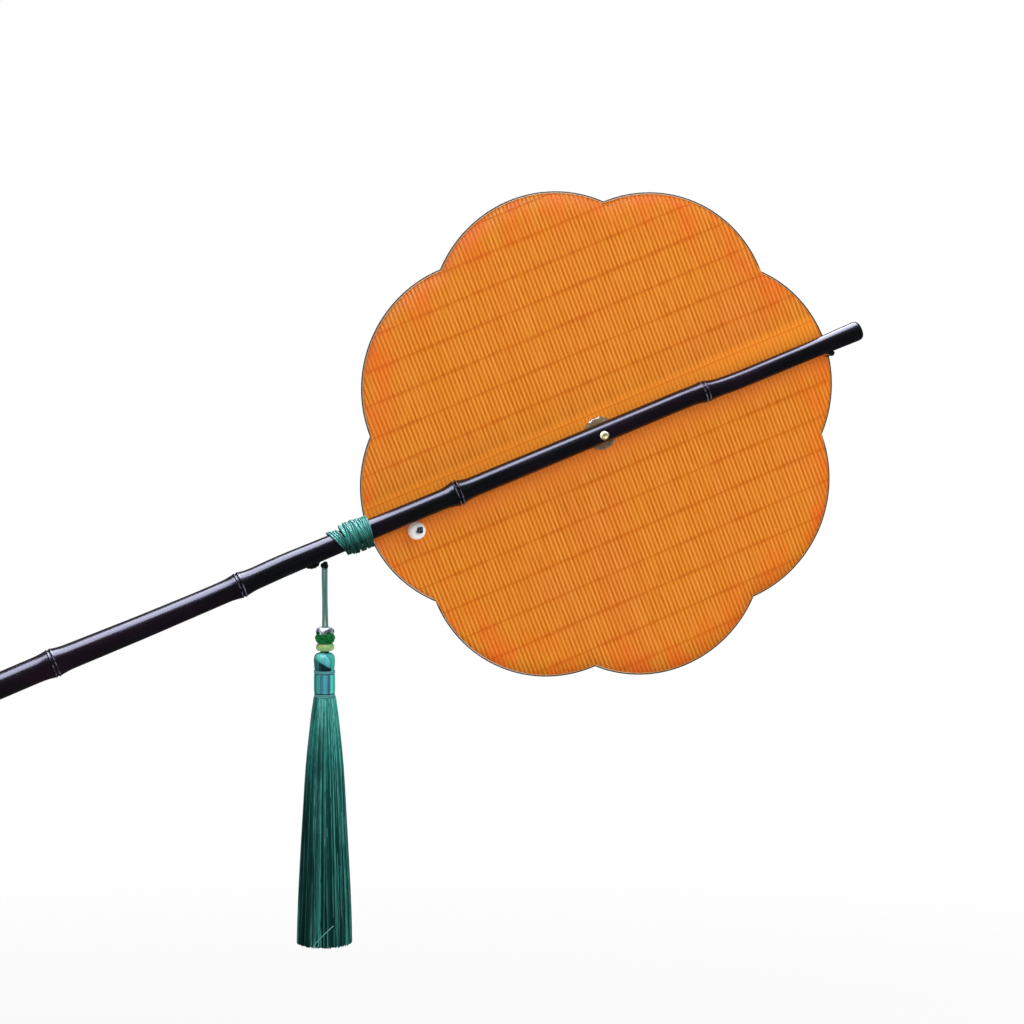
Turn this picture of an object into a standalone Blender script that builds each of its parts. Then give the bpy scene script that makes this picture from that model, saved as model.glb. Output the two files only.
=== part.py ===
# A woven bamboo hand fan with a long culm handle and a silk tassel, held at its grip.
# Metres, +Z up. The leaf stands upright, the handle rises to +X and the tassel hangs down.
# The leaf's own frame has X along the handle, Y to the back and Z across it, from the leaf's centre.

import math

import bmesh
import bpy
import numpy as np
from mathutils import Vector

# Clearances
seat_gap = 0.0003
running_gap = 0.0003
cut_overrun = 0.002

# How the fan is held
handle_tilt_degrees = 21.6

# Leaf of slats, eight lobes round a centre
lobe_count = 8
lobe_radius = 0.0624
lobe_offset = 0.0629
slat_pitch = 0.00208
slat_thickness = 0.0009
groove_width = 0.0006
groove_depth = 0.0003
weft_pitch = 0.01575
weft_width = 0.0006
weft_thickness = 0.0004
weft_phase_share = 0.64
rim_diameter = 0.0013
rim_steps = 12

# Culm handle
culm_diameter = 0.0125
handle_reach = 0.2685
tip_overhang = 0.0185
culm_sides = 16
node_width = 0.005
end_round = 0.001
# Each row: share of the reach from the leaf's edge to the butt, then thickness and bend as shares
# of the diameter
lower_culm_shares = (
    (1.0, 1.03, 0.43),
    (0.885, 1.02, 0.43),
    (0.67, 1.01, 0.42),
    (0.6275, 1.01, 0.41),
    (0.45, 0.92, 0.325),
    (0.33, 0.875, 0.3),
    (0.263, 0.88, 0.305),
    (0.18, 0.89, 0.345),
    (0.04, 0.835, 0.305),
)
# Each row: share of the leaf's half length from its centre, then the same shares
upper_culm_shares = (
    (-0.86, 0.82, 0.27),
    (-0.63, 0.81, 0.235),
    (-0.08, 0.8, 0.165),
    (0.37, 0.8, 0.115),
    (0.455, 0.78, 0.06),
    (0.5, 0.735, -0.015),
    (0.6, 0.725, -0.075),
    (0.93, 0.72, -0.12),
)
tip_thickness_share = 0.8
tip_bend_share = -0.14
# Where the culm's nodes are, and how far each ridge stands out as a share of the diameter
lower_node_shares = ((0.885, 0.09), (0.6275, 0.085), (0.263, 0.085))
upper_node_shares = ((-0.63, 0.145), (0.455, 0.075))
# A node's outline: share of its width along the culm, share of its height
node_outline_shares = (
    (-0.5, 0.0),
    (-0.24, 0.75),
    (-0.1, 0.8),
    (0.02, 0.4),
    (0.16, 1.0),
    (0.28, 0.9),
    (0.5, 0.0),
)
grip_share = 0.815

# Pin through the culm and the leaf
pin_rise = 0.0012
pin_diameter = 0.0018
pin_head_diameter = 0.0045
pin_head_height = 0.0011
pin_dimple_share = 0.25
clear_washer_diameter = 0.016
back_washer_diameter = 0.008
back_washer_thickness = 0.0006
pin_cap_diameter = 0.0042
pin_cap_height = 0.0012
pin_sides = 16

# Lashing of cord at the leaf's lower edge
lashing_cord = 0.0012
lashing_diameter = 0.0162
lashing_overlap = 0.0017
lashing_first_pitch = 0.0025
lashing_spaced_pitch = 0.0019
lashing_tight_pitch = 0.00166
lashing_last_pitch = 0.0022
spaced_turns = 3.5
climb_turns = 0.5
tight_turns = 7
last_turns = 1.25
turn_steps = 24
lashing_start_degrees = 135.0
lashing_knot_diameter = 0.0021

# Ties of thin thread that hold the leaf's rim
tie_thread = 0.0007
tie_steps = 12
upper_knot_diameter = 0.0034
upper_stub_depth = 0.0025
upper_stub_diameter = 0.001

# White bead on the leaf
leaf_bead_diameter = 0.009
leaf_bead_height = 0.0066
leaf_bead_along_share = 0.83
leaf_bead_gap = 0.0009
bead_thread_diameter = 0.0009
bead_stopper_diameter = 0.0031
bead_back_knot_diameter = 0.0022

# Tassel hanger
hanger_from_lashing = 0.0062
hanger_cord_diameter = 0.0014
hanger_stopper_diameter = 0.0034
hitch_diameter = 0.0042

# Tassel
strand_diameter = 0.0015
strand_spacing = 0.0019
strand_length = 0.0388
strand_steps = 10
stop_knot_diameter = 0.0046
stop_knot_height = 0.0022
cap_height = 0.0042
cap_top_diameter = 0.0056
cap_wall = 0.00045
cap_petals = 6
cap_scallop = 0.0004
glass_bead_diameter = 0.0103
glass_bead_height = 0.0066
small_bead_diameter = 0.0086
small_bead_height = 0.0034
head_diameter = 0.0108
head_height = 0.0092
head_sink_share = 0.8
binding_diameter = 0.0018
collar_diameter = 0.0101
collar_height = 0.0086
neck_diameter = 0.0076
skirt_diameter = 0.0272
skirt_length = 0.1237
skirt_flutes = 18
flute_share = 0.08
# Share of the skirt's length, share of its full width
skirt_shares = (
    (0.0, 0.38),
    (0.05, 0.46),
    (0.12, 0.53),
    (0.2, 0.61),
    (0.3, 0.69),
    (0.45, 0.77),
    (0.65, 0.87),
    (0.85, 0.96),
    (1.0, 1.0),
)
bead_sides = 12

# Sizes that follow
leaf_reach = lobe_offset + lobe_radius
rim_radius = rim_diameter / 2
rim_track = lobe_radius + seat_gap + rim_radius
rim_reach = lobe_offset + rim_track + rim_radius
slat_front = -slat_thickness / 2
slat_back = slat_thickness / 2
butt_station = -leaf_reach - handle_reach
tip_station = rim_reach + tip_overhang
lashing_turns = spaced_turns + tight_turns + last_turns
spaced_length = lashing_first_pitch + lashing_spaced_pitch * (spaced_turns - 1)
tight_length = lashing_tight_pitch * tight_turns
lashing_length = spaced_length + tight_length + lashing_last_pitch * last_turns
lashing_end = -rim_reach + lashing_overlap - lashing_cord / 2
lashing_start = lashing_end - lashing_length
hanger_station = lashing_start - hanger_from_lashing


def clear_scene():
    for old in list(bpy.data.objects):
        bpy.data.objects.remove(old)


def finish_material(name, colour, roughness, metallic=0.0, alpha=1.0):
    """A plain surface; the colour is given as the screen shows it, from 0 to 1."""
    made = bpy.data.materials.new(name)
    made.use_nodes = True
    shader = made.node_tree.nodes["Principled BSDF"]
    linear = [((c + 0.055) / 1.055) ** 2.4 if c > 0.04045 else c / 12.92 for c in colour]
    shader.inputs["Base Color"].default_value = (*linear, 1.0)
    shader.inputs["Roughness"].default_value = roughness
    shader.inputs["Metallic"].default_value = metallic
    shader.inputs["Alpha"].default_value = alpha
    return made


def add_object(name, data, parent, material, location=(0, 0, 0), turn=(0, 0, 0)):
    made = bpy.data.objects.new(name, data)
    bpy.context.scene.collection.objects.link(made)
    made.parent = parent
    made.location = location
    made.rotation_euler = turn
    if material:
        data.materials.append(material)
    return made


def mesh_from(name, points, faces, smooth_degrees=35):
    mesh = bpy.data.meshes.new(name)
    mesh.from_pydata([tuple(p) for p in points], [], faces)
    shell = bmesh.new()
    shell.from_mesh(mesh)
    bmesh.ops.remove_doubles(shell, verts=shell.verts, dist=seat_gap / 100)
    bmesh.ops.recalc_face_normals(shell, faces=shell.faces)
    shell.to_mesh(mesh)
    shell.free()
    mesh.shade_smooth()
    mesh.set_sharp_from_angle(angle=math.radians(smooth_degrees))
    return mesh


def turned_mesh(name, profile, sides, closed=False, smooth_degrees=35):
    """A shape turned about Z from (radius, height) pairs, open from axis to axis or closed as a ring."""
    points, rings = [], []
    for radius, height in profile:
        if radius <= 0:
            rings.append([len(points)])
            points.append((0, 0, height))
            continue
        rings.append(list(range(len(points), len(points) + sides)))
        for i in range(sides):
            angle = 2 * math.pi * i / sides
            points.append((radius * math.cos(angle), radius * math.sin(angle), height))
    faces = []
    pairs = list(zip(rings, rings[1:]))
    if closed:
        pairs.append((rings[-1], rings[0]))
    for a, b in pairs:
        for i in range(sides):
            j = (i + 1) % sides
            if len(a) == 1:
                faces.append((a[0], b[i], b[j]))
            elif len(b) == 1:
                faces.append((a[i], b[0], a[j]))
            else:
                faces.append((a[i], b[i], b[j], a[j]))
    return mesh_from(name, points, faces, smooth_degrees)


def loft_mesh(name, rings):
    """A closed solid through rings of points, each ring with the same count, capped flat at both ends."""
    count = len(rings[0])
    points = [p for ring in rings for p in ring]
    faces = []
    for k in range(len(rings) - 1):
        for i in range(count):
            j = (i + 1) % count
            faces.append((k * count + i, (k + 1) * count + i, (k + 1) * count + j, k * count + j))
    faces.append(tuple(range(count)))
    last = (len(rings) - 1) * count
    faces.append(tuple(range(last, last + count)))
    return mesh_from(name, points, faces)


def ball_profile(diameter, height=None, steps=6):
    """Half an outline of a round knot or bead, from the top pole to the bottom one."""
    tall = height or diameter
    angles = [math.pi * i / steps for i in range(steps + 1)]
    profile = [(diameter / 2 * math.sin(a), tall / 2 * math.cos(a)) for a in angles]
    profile[0] = (0, tall / 2)
    profile[-1] = (0, -tall / 2)
    return profile


def cord_curve(name, path, diameter, resolution, cyclic=False):
    curve = bpy.data.curves.new(name, "CURVE")
    curve.dimensions = "3D"
    curve.bevel_depth = diameter / 2
    curve.bevel_resolution = resolution
    curve.use_fill_caps = not cyclic
    line = curve.splines.new("POLY")
    line.points.add(len(path) - 1)
    for point, place in zip(line.points, path):
        point.co = (*place, 1.0)
    line.use_cyclic_u = cyclic
    return curve


def cut(target, cutters):
    for cutter in cutters:
        cutter.hide_render = True
        cutter.display_type = "WIRE"
        tool = target.modifiers.new("cut " + cutter.name, "BOOLEAN")
        tool.operation = "DIFFERENCE"
        tool.object = cutter


def rod_mesh(name, diameter, length, sides=pin_sides):
    return turned_mesh(name, [(0, 0), (diameter / 2, 0), (diameter / 2, length), (0, length)], sides)


def leaf_half_width(x):
    """Half the leaf's width across the handle at a place along it."""
    best = 0.0
    for k in range(lobe_count):
        angle = 2 * math.pi * k / lobe_count
        along = x - lobe_offset * math.cos(angle)
        if abs(along) < lobe_radius:
            best = max(best, lobe_offset * math.sin(angle) + math.sqrt(lobe_radius**2 - along**2))
    return best


def notch_place(k, grown=0.0):
    """Where two lobes meet, on the outline or outside it, for the notch after lobe k."""
    half = math.pi / lobe_count
    radius = lobe_radius + grown
    far = lobe_offset * math.cos(half) + math.sqrt(radius**2 - (lobe_offset * math.sin(half)) ** 2)
    return far * math.cos(half * (2 * k + 1)), far * math.sin(half * (2 * k + 1))


def culm_table():
    """Stations along the culm from butt to tip: place, radius without nodes, bend."""
    rows = []
    for along, thick, bend in lower_culm_shares:
        rows.append((-leaf_reach - handle_reach * along, culm_diameter * thick / 2, culm_diameter * bend))
    for along, thick, bend in upper_culm_shares:
        rows.append((leaf_reach * along, culm_diameter * thick / 2, culm_diameter * bend))
    rows.append((tip_station, culm_diameter * tip_thickness_share / 2, culm_diameter * tip_bend_share))
    return np.array(rows)


culm_rows = culm_table()
culm_nodes = [(-leaf_reach - handle_reach * s, culm_diameter * h) for s, h in lower_node_shares]
culm_nodes += [(leaf_reach * s, culm_diameter * h) for s, h in upper_node_shares]


def culm_radius(x):
    """The culm's radius at a station, with its nodes."""
    radius = np.interp(x, culm_rows[:, 0], culm_rows[:, 1])
    for place, height in culm_nodes:
        shares = np.array(node_outline_shares)
        radius += height * np.interp((x - place) / node_width, shares[:, 0], shares[:, 1], left=0, right=0)
    return float(radius)


def widest_culm(start, end, steps=24):
    return max(culm_radius(x) for x in np.linspace(start, end, steps))


# The culm rests on the rim at its upper end, and at its lower end the lashing lies on the tie
upper_seat = (lobe_offset + rim_track, -(rim_radius + seat_gap + widest_culm(leaf_reach, rim_reach)))
lower_seat = (lashing_end, -(rim_radius + 2 * seat_gap + tie_thread + lashing_diameter / 2))
culm_lean = (upper_seat[1] - lower_seat[1]) / (upper_seat[0] - lower_seat[0])


def culm_centre(x):
    bend = float(np.interp(x, culm_rows[:, 0], culm_rows[:, 2]))
    return Vector((x, upper_seat[1] + culm_lean * (x - upper_seat[0]), bend))


def culm_underside(x):
    centre = culm_centre(x)
    return Vector((x, centre.y, centre.z - culm_radius(x)))


def make_frames():
    """The leaf's frame, placed so that the grip is at the origin, and the tassel's plumb frame."""
    leaf = bpy.data.objects.new("leaf_frame", None)
    plumb = bpy.data.objects.new("tassel_frame", None)
    for frame in (leaf, plumb):
        bpy.context.scene.collection.objects.link(frame)
    leaf.rotation_euler = (0, -math.radians(handle_tilt_degrees), 0)
    turn = leaf.rotation_euler.to_matrix()
    grip = culm_centre(-leaf_reach - handle_reach * grip_share)
    leaf.location = -(turn @ grip)
    pivot = culm_underside(hanger_station) - Vector((0, 0, seat_gap + hitch_diameter / 2))
    plumb.location = leaf.location + turn @ pivot
    return leaf, plumb


def make_culm(parent, material):
    stations = set(culm_rows[1:-1, 0])
    for place, _ in culm_nodes:
        stations -= {x for x in stations if abs(x - place) < node_width / 2}
        stations |= {place + node_width * share for share, _ in node_outline_shares}
    rings = []
    ends = [
        (butt_station, culm_radius(butt_station) - end_round),
        (butt_station + end_round / 2, culm_radius(butt_station) - end_round / 4),
        (butt_station + 2 * end_round, culm_radius(butt_station)),
    ]
    ends += [(x, culm_radius(x)) for x in sorted(stations)]
    ends += [
        (tip_station - 2 * end_round, culm_radius(tip_station)),
        (tip_station - end_round / 2, culm_radius(tip_station) - end_round / 4),
        (tip_station, culm_radius(tip_station) - end_round),
    ]
    for x, radius in ends:
        centre = culm_centre(x)
        ring = []
        for i in range(culm_sides):
            angle = 2 * math.pi * i / culm_sides
            ring.append((x, centre.y + radius * math.cos(angle), centre.z + radius * math.sin(angle)))
        rings.append(ring)
    return add_object("culm_handle", loft_mesh("culm_handle", rings), parent, material)


def make_slats(parent, material):
    """The mat of bamboo slats, laced edge to edge, with a groove on both faces where two slats meet."""
    count = int(leaf_reach / slat_pitch)
    end = slat_pitch * count - groove_width / 2
    places = [k * slat_pitch for k in range(1 - count, count)]
    shape = [(-end, 0)]
    for x in places:
        shape += [(x - groove_width / 2, 0), (x, groove_depth), (x + groove_width / 2, 0)]
    shape.append((end, 0))
    lobes = [notch_place(k)[0] for k in range(lobe_count // 2)]
    stations = sorted({x for x, _ in shape} | set(lobes))
    fine = [stations[0]]
    for x in stations[1:]:
        rise = abs(leaf_half_width(x) - leaf_half_width(fine[-1]))
        parts = 1 + int(rise / (2 * slat_pitch))
        fine += [fine[-1] + (x - fine[-1]) * (i + 1) / parts for i in range(parts)]
    shape = np.array(shape)
    stations = [(x, float(np.interp(x, shape[:, 0], shape[:, 1]))) for x in fine]
    rings = []
    for x, depth in stations:
        high = leaf_half_width(x)
        front, back = slat_front + depth, slat_back - depth
        rings.append([(x, front, -high), (x, back, -high), (x, back, high), (x, front, high)])
    return add_object("leaf_slats", loft_mesh("leaf_slats", rings), parent, material)


def make_wefts(parent, material):
    """Threads that lace the slats together, parallel to the handle, on the back of the slats."""
    front = slat_back + seat_gap
    back = front + weft_thickness
    count = int(leaf_reach / weft_pitch) + 1
    made = 0
    for k in range(-count, count + 1):
        middle = pin_rise + weft_pitch * (k + weft_phase_share)
        low, high = middle - weft_width / 2, middle + weft_width / 2
        reach = min(leaf_half_width(low), leaf_half_width(high))
        if max(abs(low), abs(high)) > leaf_reach - slat_pitch or reach < slat_pitch:
            continue
        made += 1
        name = f"weft_thread_{made:02d}"
        rings = [[(x, front, low), (x, back, low), (x, back, high), (x, front, high)] for x in (-reach, reach)]
        add_object(name, loft_mesh(name, rings), parent, material)


def make_rim(parent, material):
    """The bound hoop round the leaf, one arc for each lobe, meeting in notches."""
    notch_x, notch_z = notch_place(0, rim_track - lobe_radius)
    spread = math.atan2(notch_z, notch_x - lobe_offset)
    outside = rim_track / math.cos(spread / rim_steps)
    path = []
    for k in range(lobe_count):
        lobe = 2 * math.pi * k / lobe_count
        for i in range(rim_steps):
            angle = lobe - spread + 2 * spread * i / rim_steps
            reach = outside if i else rim_track
            x = lobe_offset * math.cos(lobe) + reach * math.cos(angle)
            z = lobe_offset * math.sin(lobe) + reach * math.sin(angle)
            path.append((x, 0, z))
    hoop = cord_curve("rim_hoop", path, rim_diameter, 1, cyclic=True)
    return add_object("rim_hoop", hoop, parent, material)


def make_pin(parent, brass, clear, steel, culm, slats):
    """The brass pin through the culm, its clear washer, and its washer and cap behind the leaf."""
    half = clear_washer_diameter / 2
    culm_back = max(culm_centre(x).y + culm_radius(x) for x in np.linspace(-half, half, 9))
    washer_back = slat_front - seat_gap
    washer_thickness = washer_back - culm_back - seat_gap
    front_half = pin_head_diameter / 2
    head_back = min(culm_centre(x).y - culm_radius(x) for x in np.linspace(-front_half, front_half, 5)) - seat_gap
    cap_front = slat_back + 2 * seat_gap + back_washer_thickness
    hole = pin_diameter / 2 + seat_gap
    to_front = (math.pi / 2, 0, 0)

    shank = cap_front + pin_cap_height / 2 - head_back
    dimple = pin_head_height * pin_dimple_share
    head = pin_head_diameter / 2
    profile = [
        (0, -shank),
        (pin_diameter / 2, -shank),
        (pin_diameter / 2, 0),
        (head, 0),
        (head, pin_head_height / 2),
        (head - pin_head_height / 2, pin_head_height),
        (pin_diameter / 2, pin_head_height),
        (0, pin_head_height - dimple),
    ]
    place = (0, head_back, pin_rise)
    add_object("centre_pin", turned_mesh("centre_pin", profile, pin_sides), parent, brass, place, to_front)

    ring = [(hole, 0), (half, 0), (half, washer_thickness), (hole, washer_thickness)]
    mesh = turned_mesh("clear_washer", ring, 2 * pin_sides, closed=True)
    add_object("clear_washer", mesh, parent, clear, (0, washer_back, pin_rise), to_front)

    outer = back_washer_diameter / 2
    ring = [(hole, 0), (outer, 0), (outer, back_washer_thickness), (hole, back_washer_thickness)]
    mesh = turned_mesh("back_washer", ring, pin_sides, closed=True)
    place = (0, slat_back + seat_gap + back_washer_thickness, pin_rise)
    add_object("back_washer", mesh, parent, steel, place, to_front)

    socket = pin_cap_height / 2 + seat_gap
    cap = pin_cap_diameter / 2
    profile = [
        (0, -socket),
        (hole, -socket),
        (hole, 0),
        (cap, 0),
        (cap, -socket),
        (cap / 2, -pin_cap_height),
        (0, -pin_cap_height),
    ]
    mesh = turned_mesh("pin_cap", profile, pin_sides)
    add_object("pin_cap", mesh, parent, brass, (0, cap_front, pin_rise), to_front)

    length = cap_front - head_back + 2 * cut_overrun
    place = (0, cap_front + cut_overrun, pin_rise)
    drill = add_object("pin_drill", rod_mesh("pin_drill", 2 * hole, length), parent, None, place, to_front)
    cut(culm, [drill])
    cut(slats, [drill])


def lashing_point(turns, inner, outer):
    """A point of the lashing's centreline, and its angle, after so many turns."""
    along = lashing_first_pitch * min(turns, 1)
    along += lashing_spaced_pitch * min(max(turns - 1, 0), spaced_turns - 1)
    along += lashing_tight_pitch * min(max(turns - spaced_turns, 0), tight_turns)
    along += lashing_last_pitch * max(turns - spaced_turns - tight_turns, 0)
    climbed = min(max((turns - spaced_turns + climb_turns) / climb_turns, 0), 1)
    radius = inner + (outer - inner) * climbed**2 * (3 - 2 * climbed)
    angle = math.radians(lashing_start_degrees) + 2 * math.pi * turns
    x = lashing_start + along
    centre = culm_centre(x)
    return Vector((x, centre.y + radius * math.sin(angle), centre.z + radius * math.cos(angle)))


def make_lashing(parent, cord, dark):
    """Cord lashed round the culm: open turns, then tight ones over a core of the turns below."""
    core_start = lashing_start + spaced_length + lashing_cord / 2 + seat_gap
    core_end = lashing_end + lashing_cord / 2
    bore = widest_culm(core_start, core_end) + seat_gap
    core_outer = lashing_diameter / 2 - lashing_cord - seat_gap
    half = (core_end - core_start) / 2
    edge = (core_outer - bore) / 2
    ring = [(bore, -half), (core_outer - edge, -half), (core_outer, -half + edge)]
    ring += [(core_outer, half - edge), (core_outer - edge, half), (bore, half)]
    mesh = turned_mesh("lashing_core", ring, culm_sides, closed=True)
    middle = culm_centre(core_start + half)
    add_object("lashing_core", mesh, parent, dark, middle, (0, math.pi / 2, 0))

    inner = widest_culm(lashing_start, core_start) + seat_gap + lashing_cord / 2
    outer = core_outer + seat_gap + lashing_cord / 2
    steps = int(lashing_turns * turn_steps)
    path = [lashing_point(lashing_turns * i / steps, inner, outer) for i in range(steps + 1)]
    head_way = (path[0] - path[1]).normalized()
    tail_way = (path[-1] - path[-2]).normalized()
    first, last = path[0] + head_way * lashing_cord, path[-1] + tail_way * lashing_cord
    path = [first, *path, last]
    add_object("lower_lashing", cord_curve("lower_lashing", path, lashing_cord, 1), parent, cord)

    line = np.array(path)
    apart = np.linalg.norm(line[:, None] - line[None], axis=2)
    index = np.arange(len(line))
    apart[abs(index[:, None] - index[None]) < turn_steps / 2] = np.inf
    print(f"lower_lashing: least gap to itself {(apart.min() - lashing_cord) * 1000:.2f} mm")

    away = seat_gap + lashing_knot_diameter / 2
    for name, place in (
        ("lashing_start_knot", first + head_way * away),
        ("lashing_end_knot", last + tail_way * away),
    ):
        mesh = turned_mesh(name, ball_profile(lashing_knot_diameter), bead_sides)
        add_object(name, mesh, parent, dark, place)


def tie_path(middle, half_along, half_deep):
    """A closed loop of thread in the plane along the handle and through the leaf."""
    path = []
    for i in range(tie_steps):
        angle = 2 * math.pi * i / tie_steps
        path.append((middle.x + half_along * math.cos(angle), middle.y + half_deep * math.sin(angle), middle.z))
    return path


def rim_station(z):
    return lobe_offset + math.sqrt(rim_track**2 - z**2)


def make_ties(parent, dark, culm, slats):
    """Loops of thread round the rim at the handle's two crossings, and the knot under the upper one."""
    clear = rim_radius + seat_gap + tie_thread / 2
    shift = tie_thread / 2
    half_along = clear + shift
    hole = tie_thread + 2 * seat_gap

    low = culm_centre(lashing_end).z
    rim = -rim_station(low)
    middle = Vector((rim + shift, 0, low))
    lower = cord_curve("lower_tie", tie_path(middle, half_along, clear), tie_thread, 1, cyclic=True)
    add_object("lower_tie", lower, parent, dark)

    knot_place = culm_underside(rim_reach) - Vector((0, 0, seat_gap + upper_knot_diameter / 2))
    rim = rim_station(knot_place.z)
    front = knot_place.y + upper_knot_diameter / 2 + seat_gap + tie_thread / 2
    middle_y = (front + clear) / 2
    upper_middle = Vector((rim - shift, middle_y, knot_place.z))
    upper_path = tie_path(upper_middle, half_along, clear - middle_y)
    upper = cord_curve("upper_tie", upper_path, tie_thread, 1, cyclic=True)
    add_object("upper_tie", upper, parent, dark)

    half = upper_knot_diameter / 2
    stub = upper_stub_diameter / 2
    shoulder = math.sqrt(half**2 - stub**2)
    profile = [row for row in ball_profile(upper_knot_diameter) if row[1] < shoulder]
    tip = half + seat_gap + upper_stub_depth
    profile = [(0, tip), (stub, tip), (stub, shoulder), *profile]
    mesh = turned_mesh("upper_tie_knot", profile, bead_sides - 2)
    add_object("upper_tie_knot", mesh, parent, dark, knot_place)

    length = cut_overrun + upper_stub_depth + seat_gap
    place = culm_underside(rim_reach) - Vector((0, 0, cut_overrun))
    drill = rod_mesh("upper_drill", upper_stub_diameter + 2 * seat_gap, length, bead_sides)
    cut(culm, [add_object("upper_drill", drill, parent, None, place)])

    drills = []
    for name, x, z in (
        ("lower_tie_drill", middle.x + half_along, middle.z),
        ("upper_tie_drill", upper_middle.x - half_along, upper_middle.z),
    ):
        mesh = rod_mesh(name, hole, slat_thickness + 2 * cut_overrun, bead_sides)
        place = (x, slat_back + cut_overrun, z)
        drills.append(add_object(name, mesh, parent, None, place, (math.pi / 2, 0, 0)))
    cut(slats, drills)


def make_leaf_bead(parent, white, dark, slats):
    """A white bead on the leaf below the culm, on a thread that is knotted in front and behind."""
    x = -leaf_reach * leaf_bead_along_share
    low = culm_underside(x).z - leaf_bead_gap - leaf_bead_diameter / 2
    bore = bead_thread_diameter / 2 + running_gap
    half = leaf_bead_height / 2
    outer = leaf_bead_diameter / 2
    face = bead_stopper_diameter / 2
    round_part = [math.pi * i / 6 for i in range(7)]
    bulge = [(face + (outer - face) * math.sin(a), half * math.cos(a)) for a in round_part]
    middle = slat_front - seat_gap - half
    to_front = (math.pi / 2, 0, 0)
    mesh = turned_mesh("leaf_bead", [(bore, half), *bulge, (bore, -half)], pin_sides, closed=True)
    add_object("leaf_bead", mesh, parent, white, (x, middle, low), to_front)

    stopper = bead_stopper_diameter / 2
    knot = bead_back_knot_diameter / 2
    thread = bead_thread_diameter / 2
    front = half + running_gap + stopper
    back = -half - 2 * seat_gap - slat_thickness - knot
    top = [(r, front + h) for r, h in ball_profile(bead_stopper_diameter) if h >= 0 or r > thread]
    bottom = [(r, back + h) for r, h in ball_profile(bead_back_knot_diameter) if h <= 0 or r > thread]
    profile = [*top, (thread, front - stopper), (thread, back + knot), *bottom]
    mesh = turned_mesh("bead_thread", profile, bead_sides)
    add_object("bead_thread", mesh, parent, dark, (x, middle, low), to_front)

    deep = slat_thickness + 2 * cut_overrun
    drill = rod_mesh("bead_drill", bead_thread_diameter + 2 * seat_gap, deep, bead_sides)
    place = (x, slat_back + cut_overrun, low)
    cut(slats, [add_object("bead_drill", drill, parent, None, place, to_front)])


def make_hanger(parent, dark, culm):
    """The tassel's cord comes out of a drilled hole under the culm, held by a knot inside it."""
    centre = culm_centre(hanger_station)
    wall = culm_radius(hanger_station)
    stopper = hanger_stopper_diameter / 2
    cord = hanger_cord_diameter / 2
    ball = [row for row in ball_profile(hanger_stopper_diameter) if row[1] >= 0 or row[0] > cord]
    profile = ball + [(cord, -stopper), (cord, -wall), (0, -wall)]
    mesh = turned_mesh("hanger_cord", profile, bead_sides)
    add_object("hanger_cord", mesh, parent, dark, centre)

    room = stopper + seat_gap
    hole = cord + seat_gap
    mouth = -wall - cut_overrun
    profile = [(0, room), (room, room), (room, -room), (hole, -room), (hole, mouth), (0, mouth)]
    drill = turned_mesh("hanger_drill", profile, bead_sides)
    cut(culm, [add_object("hanger_drill", drill, parent, None, centre)])


def make_beads(parent, silver, glass, pale, top):
    """The silver cap, the cut glass bead and the small bead below it, on the two strands."""
    bore = (strand_spacing + strand_diameter) / 2 + running_gap
    outer = glass_bead_diameter / 2
    collar = cap_top_diameter / 2
    skirt = outer - cap_wall / 2
    ring = [
        (bore, 0),
        (collar, 0),
        (collar + cap_wall, -cap_height / 4),
        (skirt, -cap_height),
        (skirt - cap_wall, -cap_height),
        (collar, -cap_height / 4 - cap_wall),
        (bore, -cap_height / 4),
    ]
    mesh = turned_mesh("bead_cap", ring, 4 * cap_petals, closed=True, smooth_degrees=50)
    for vertex in mesh.vertices:
        if vertex.co.z < -cap_height * 3 / 4:
            angle = math.atan2(vertex.co.y, vertex.co.x)
            vertex.co.z += cap_scallop * math.cos(cap_petals * angle)
    add_object("bead_cap", mesh, parent, silver, (0, 0, top))

    crown = top - cap_height / 4 - cap_wall - 2 * seat_gap
    half = glass_bead_height / 2
    ring = [
        (bore, half),
        (collar - cap_wall / 2, half),
        (outer - cap_wall, 0),
        (outer, -half / 4),
        (outer * 5 / 6, -half * 3 / 4),
        (outer * 2 / 3, -half),
        (bore, -half),
    ]
    mesh = turned_mesh("glass_bead", ring, bead_sides, closed=True, smooth_degrees=5)
    add_object("glass_bead", mesh, parent, glass, (0, 0, crown - half))

    under = crown - glass_bead_height - seat_gap
    half = small_bead_height / 2
    outer = small_bead_diameter / 2
    edge = outer * 3 / 4
    ring = [(bore, half), (edge, half), (outer, half / 4), (outer, -half / 4), (edge, -half), (bore, -half)]
    mesh = turned_mesh("small_bead", ring, bead_sides, closed=True, smooth_degrees=5)
    add_object("small_bead", mesh, parent, pale, (0, 0, under - half))
    return under - small_bead_height


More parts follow.
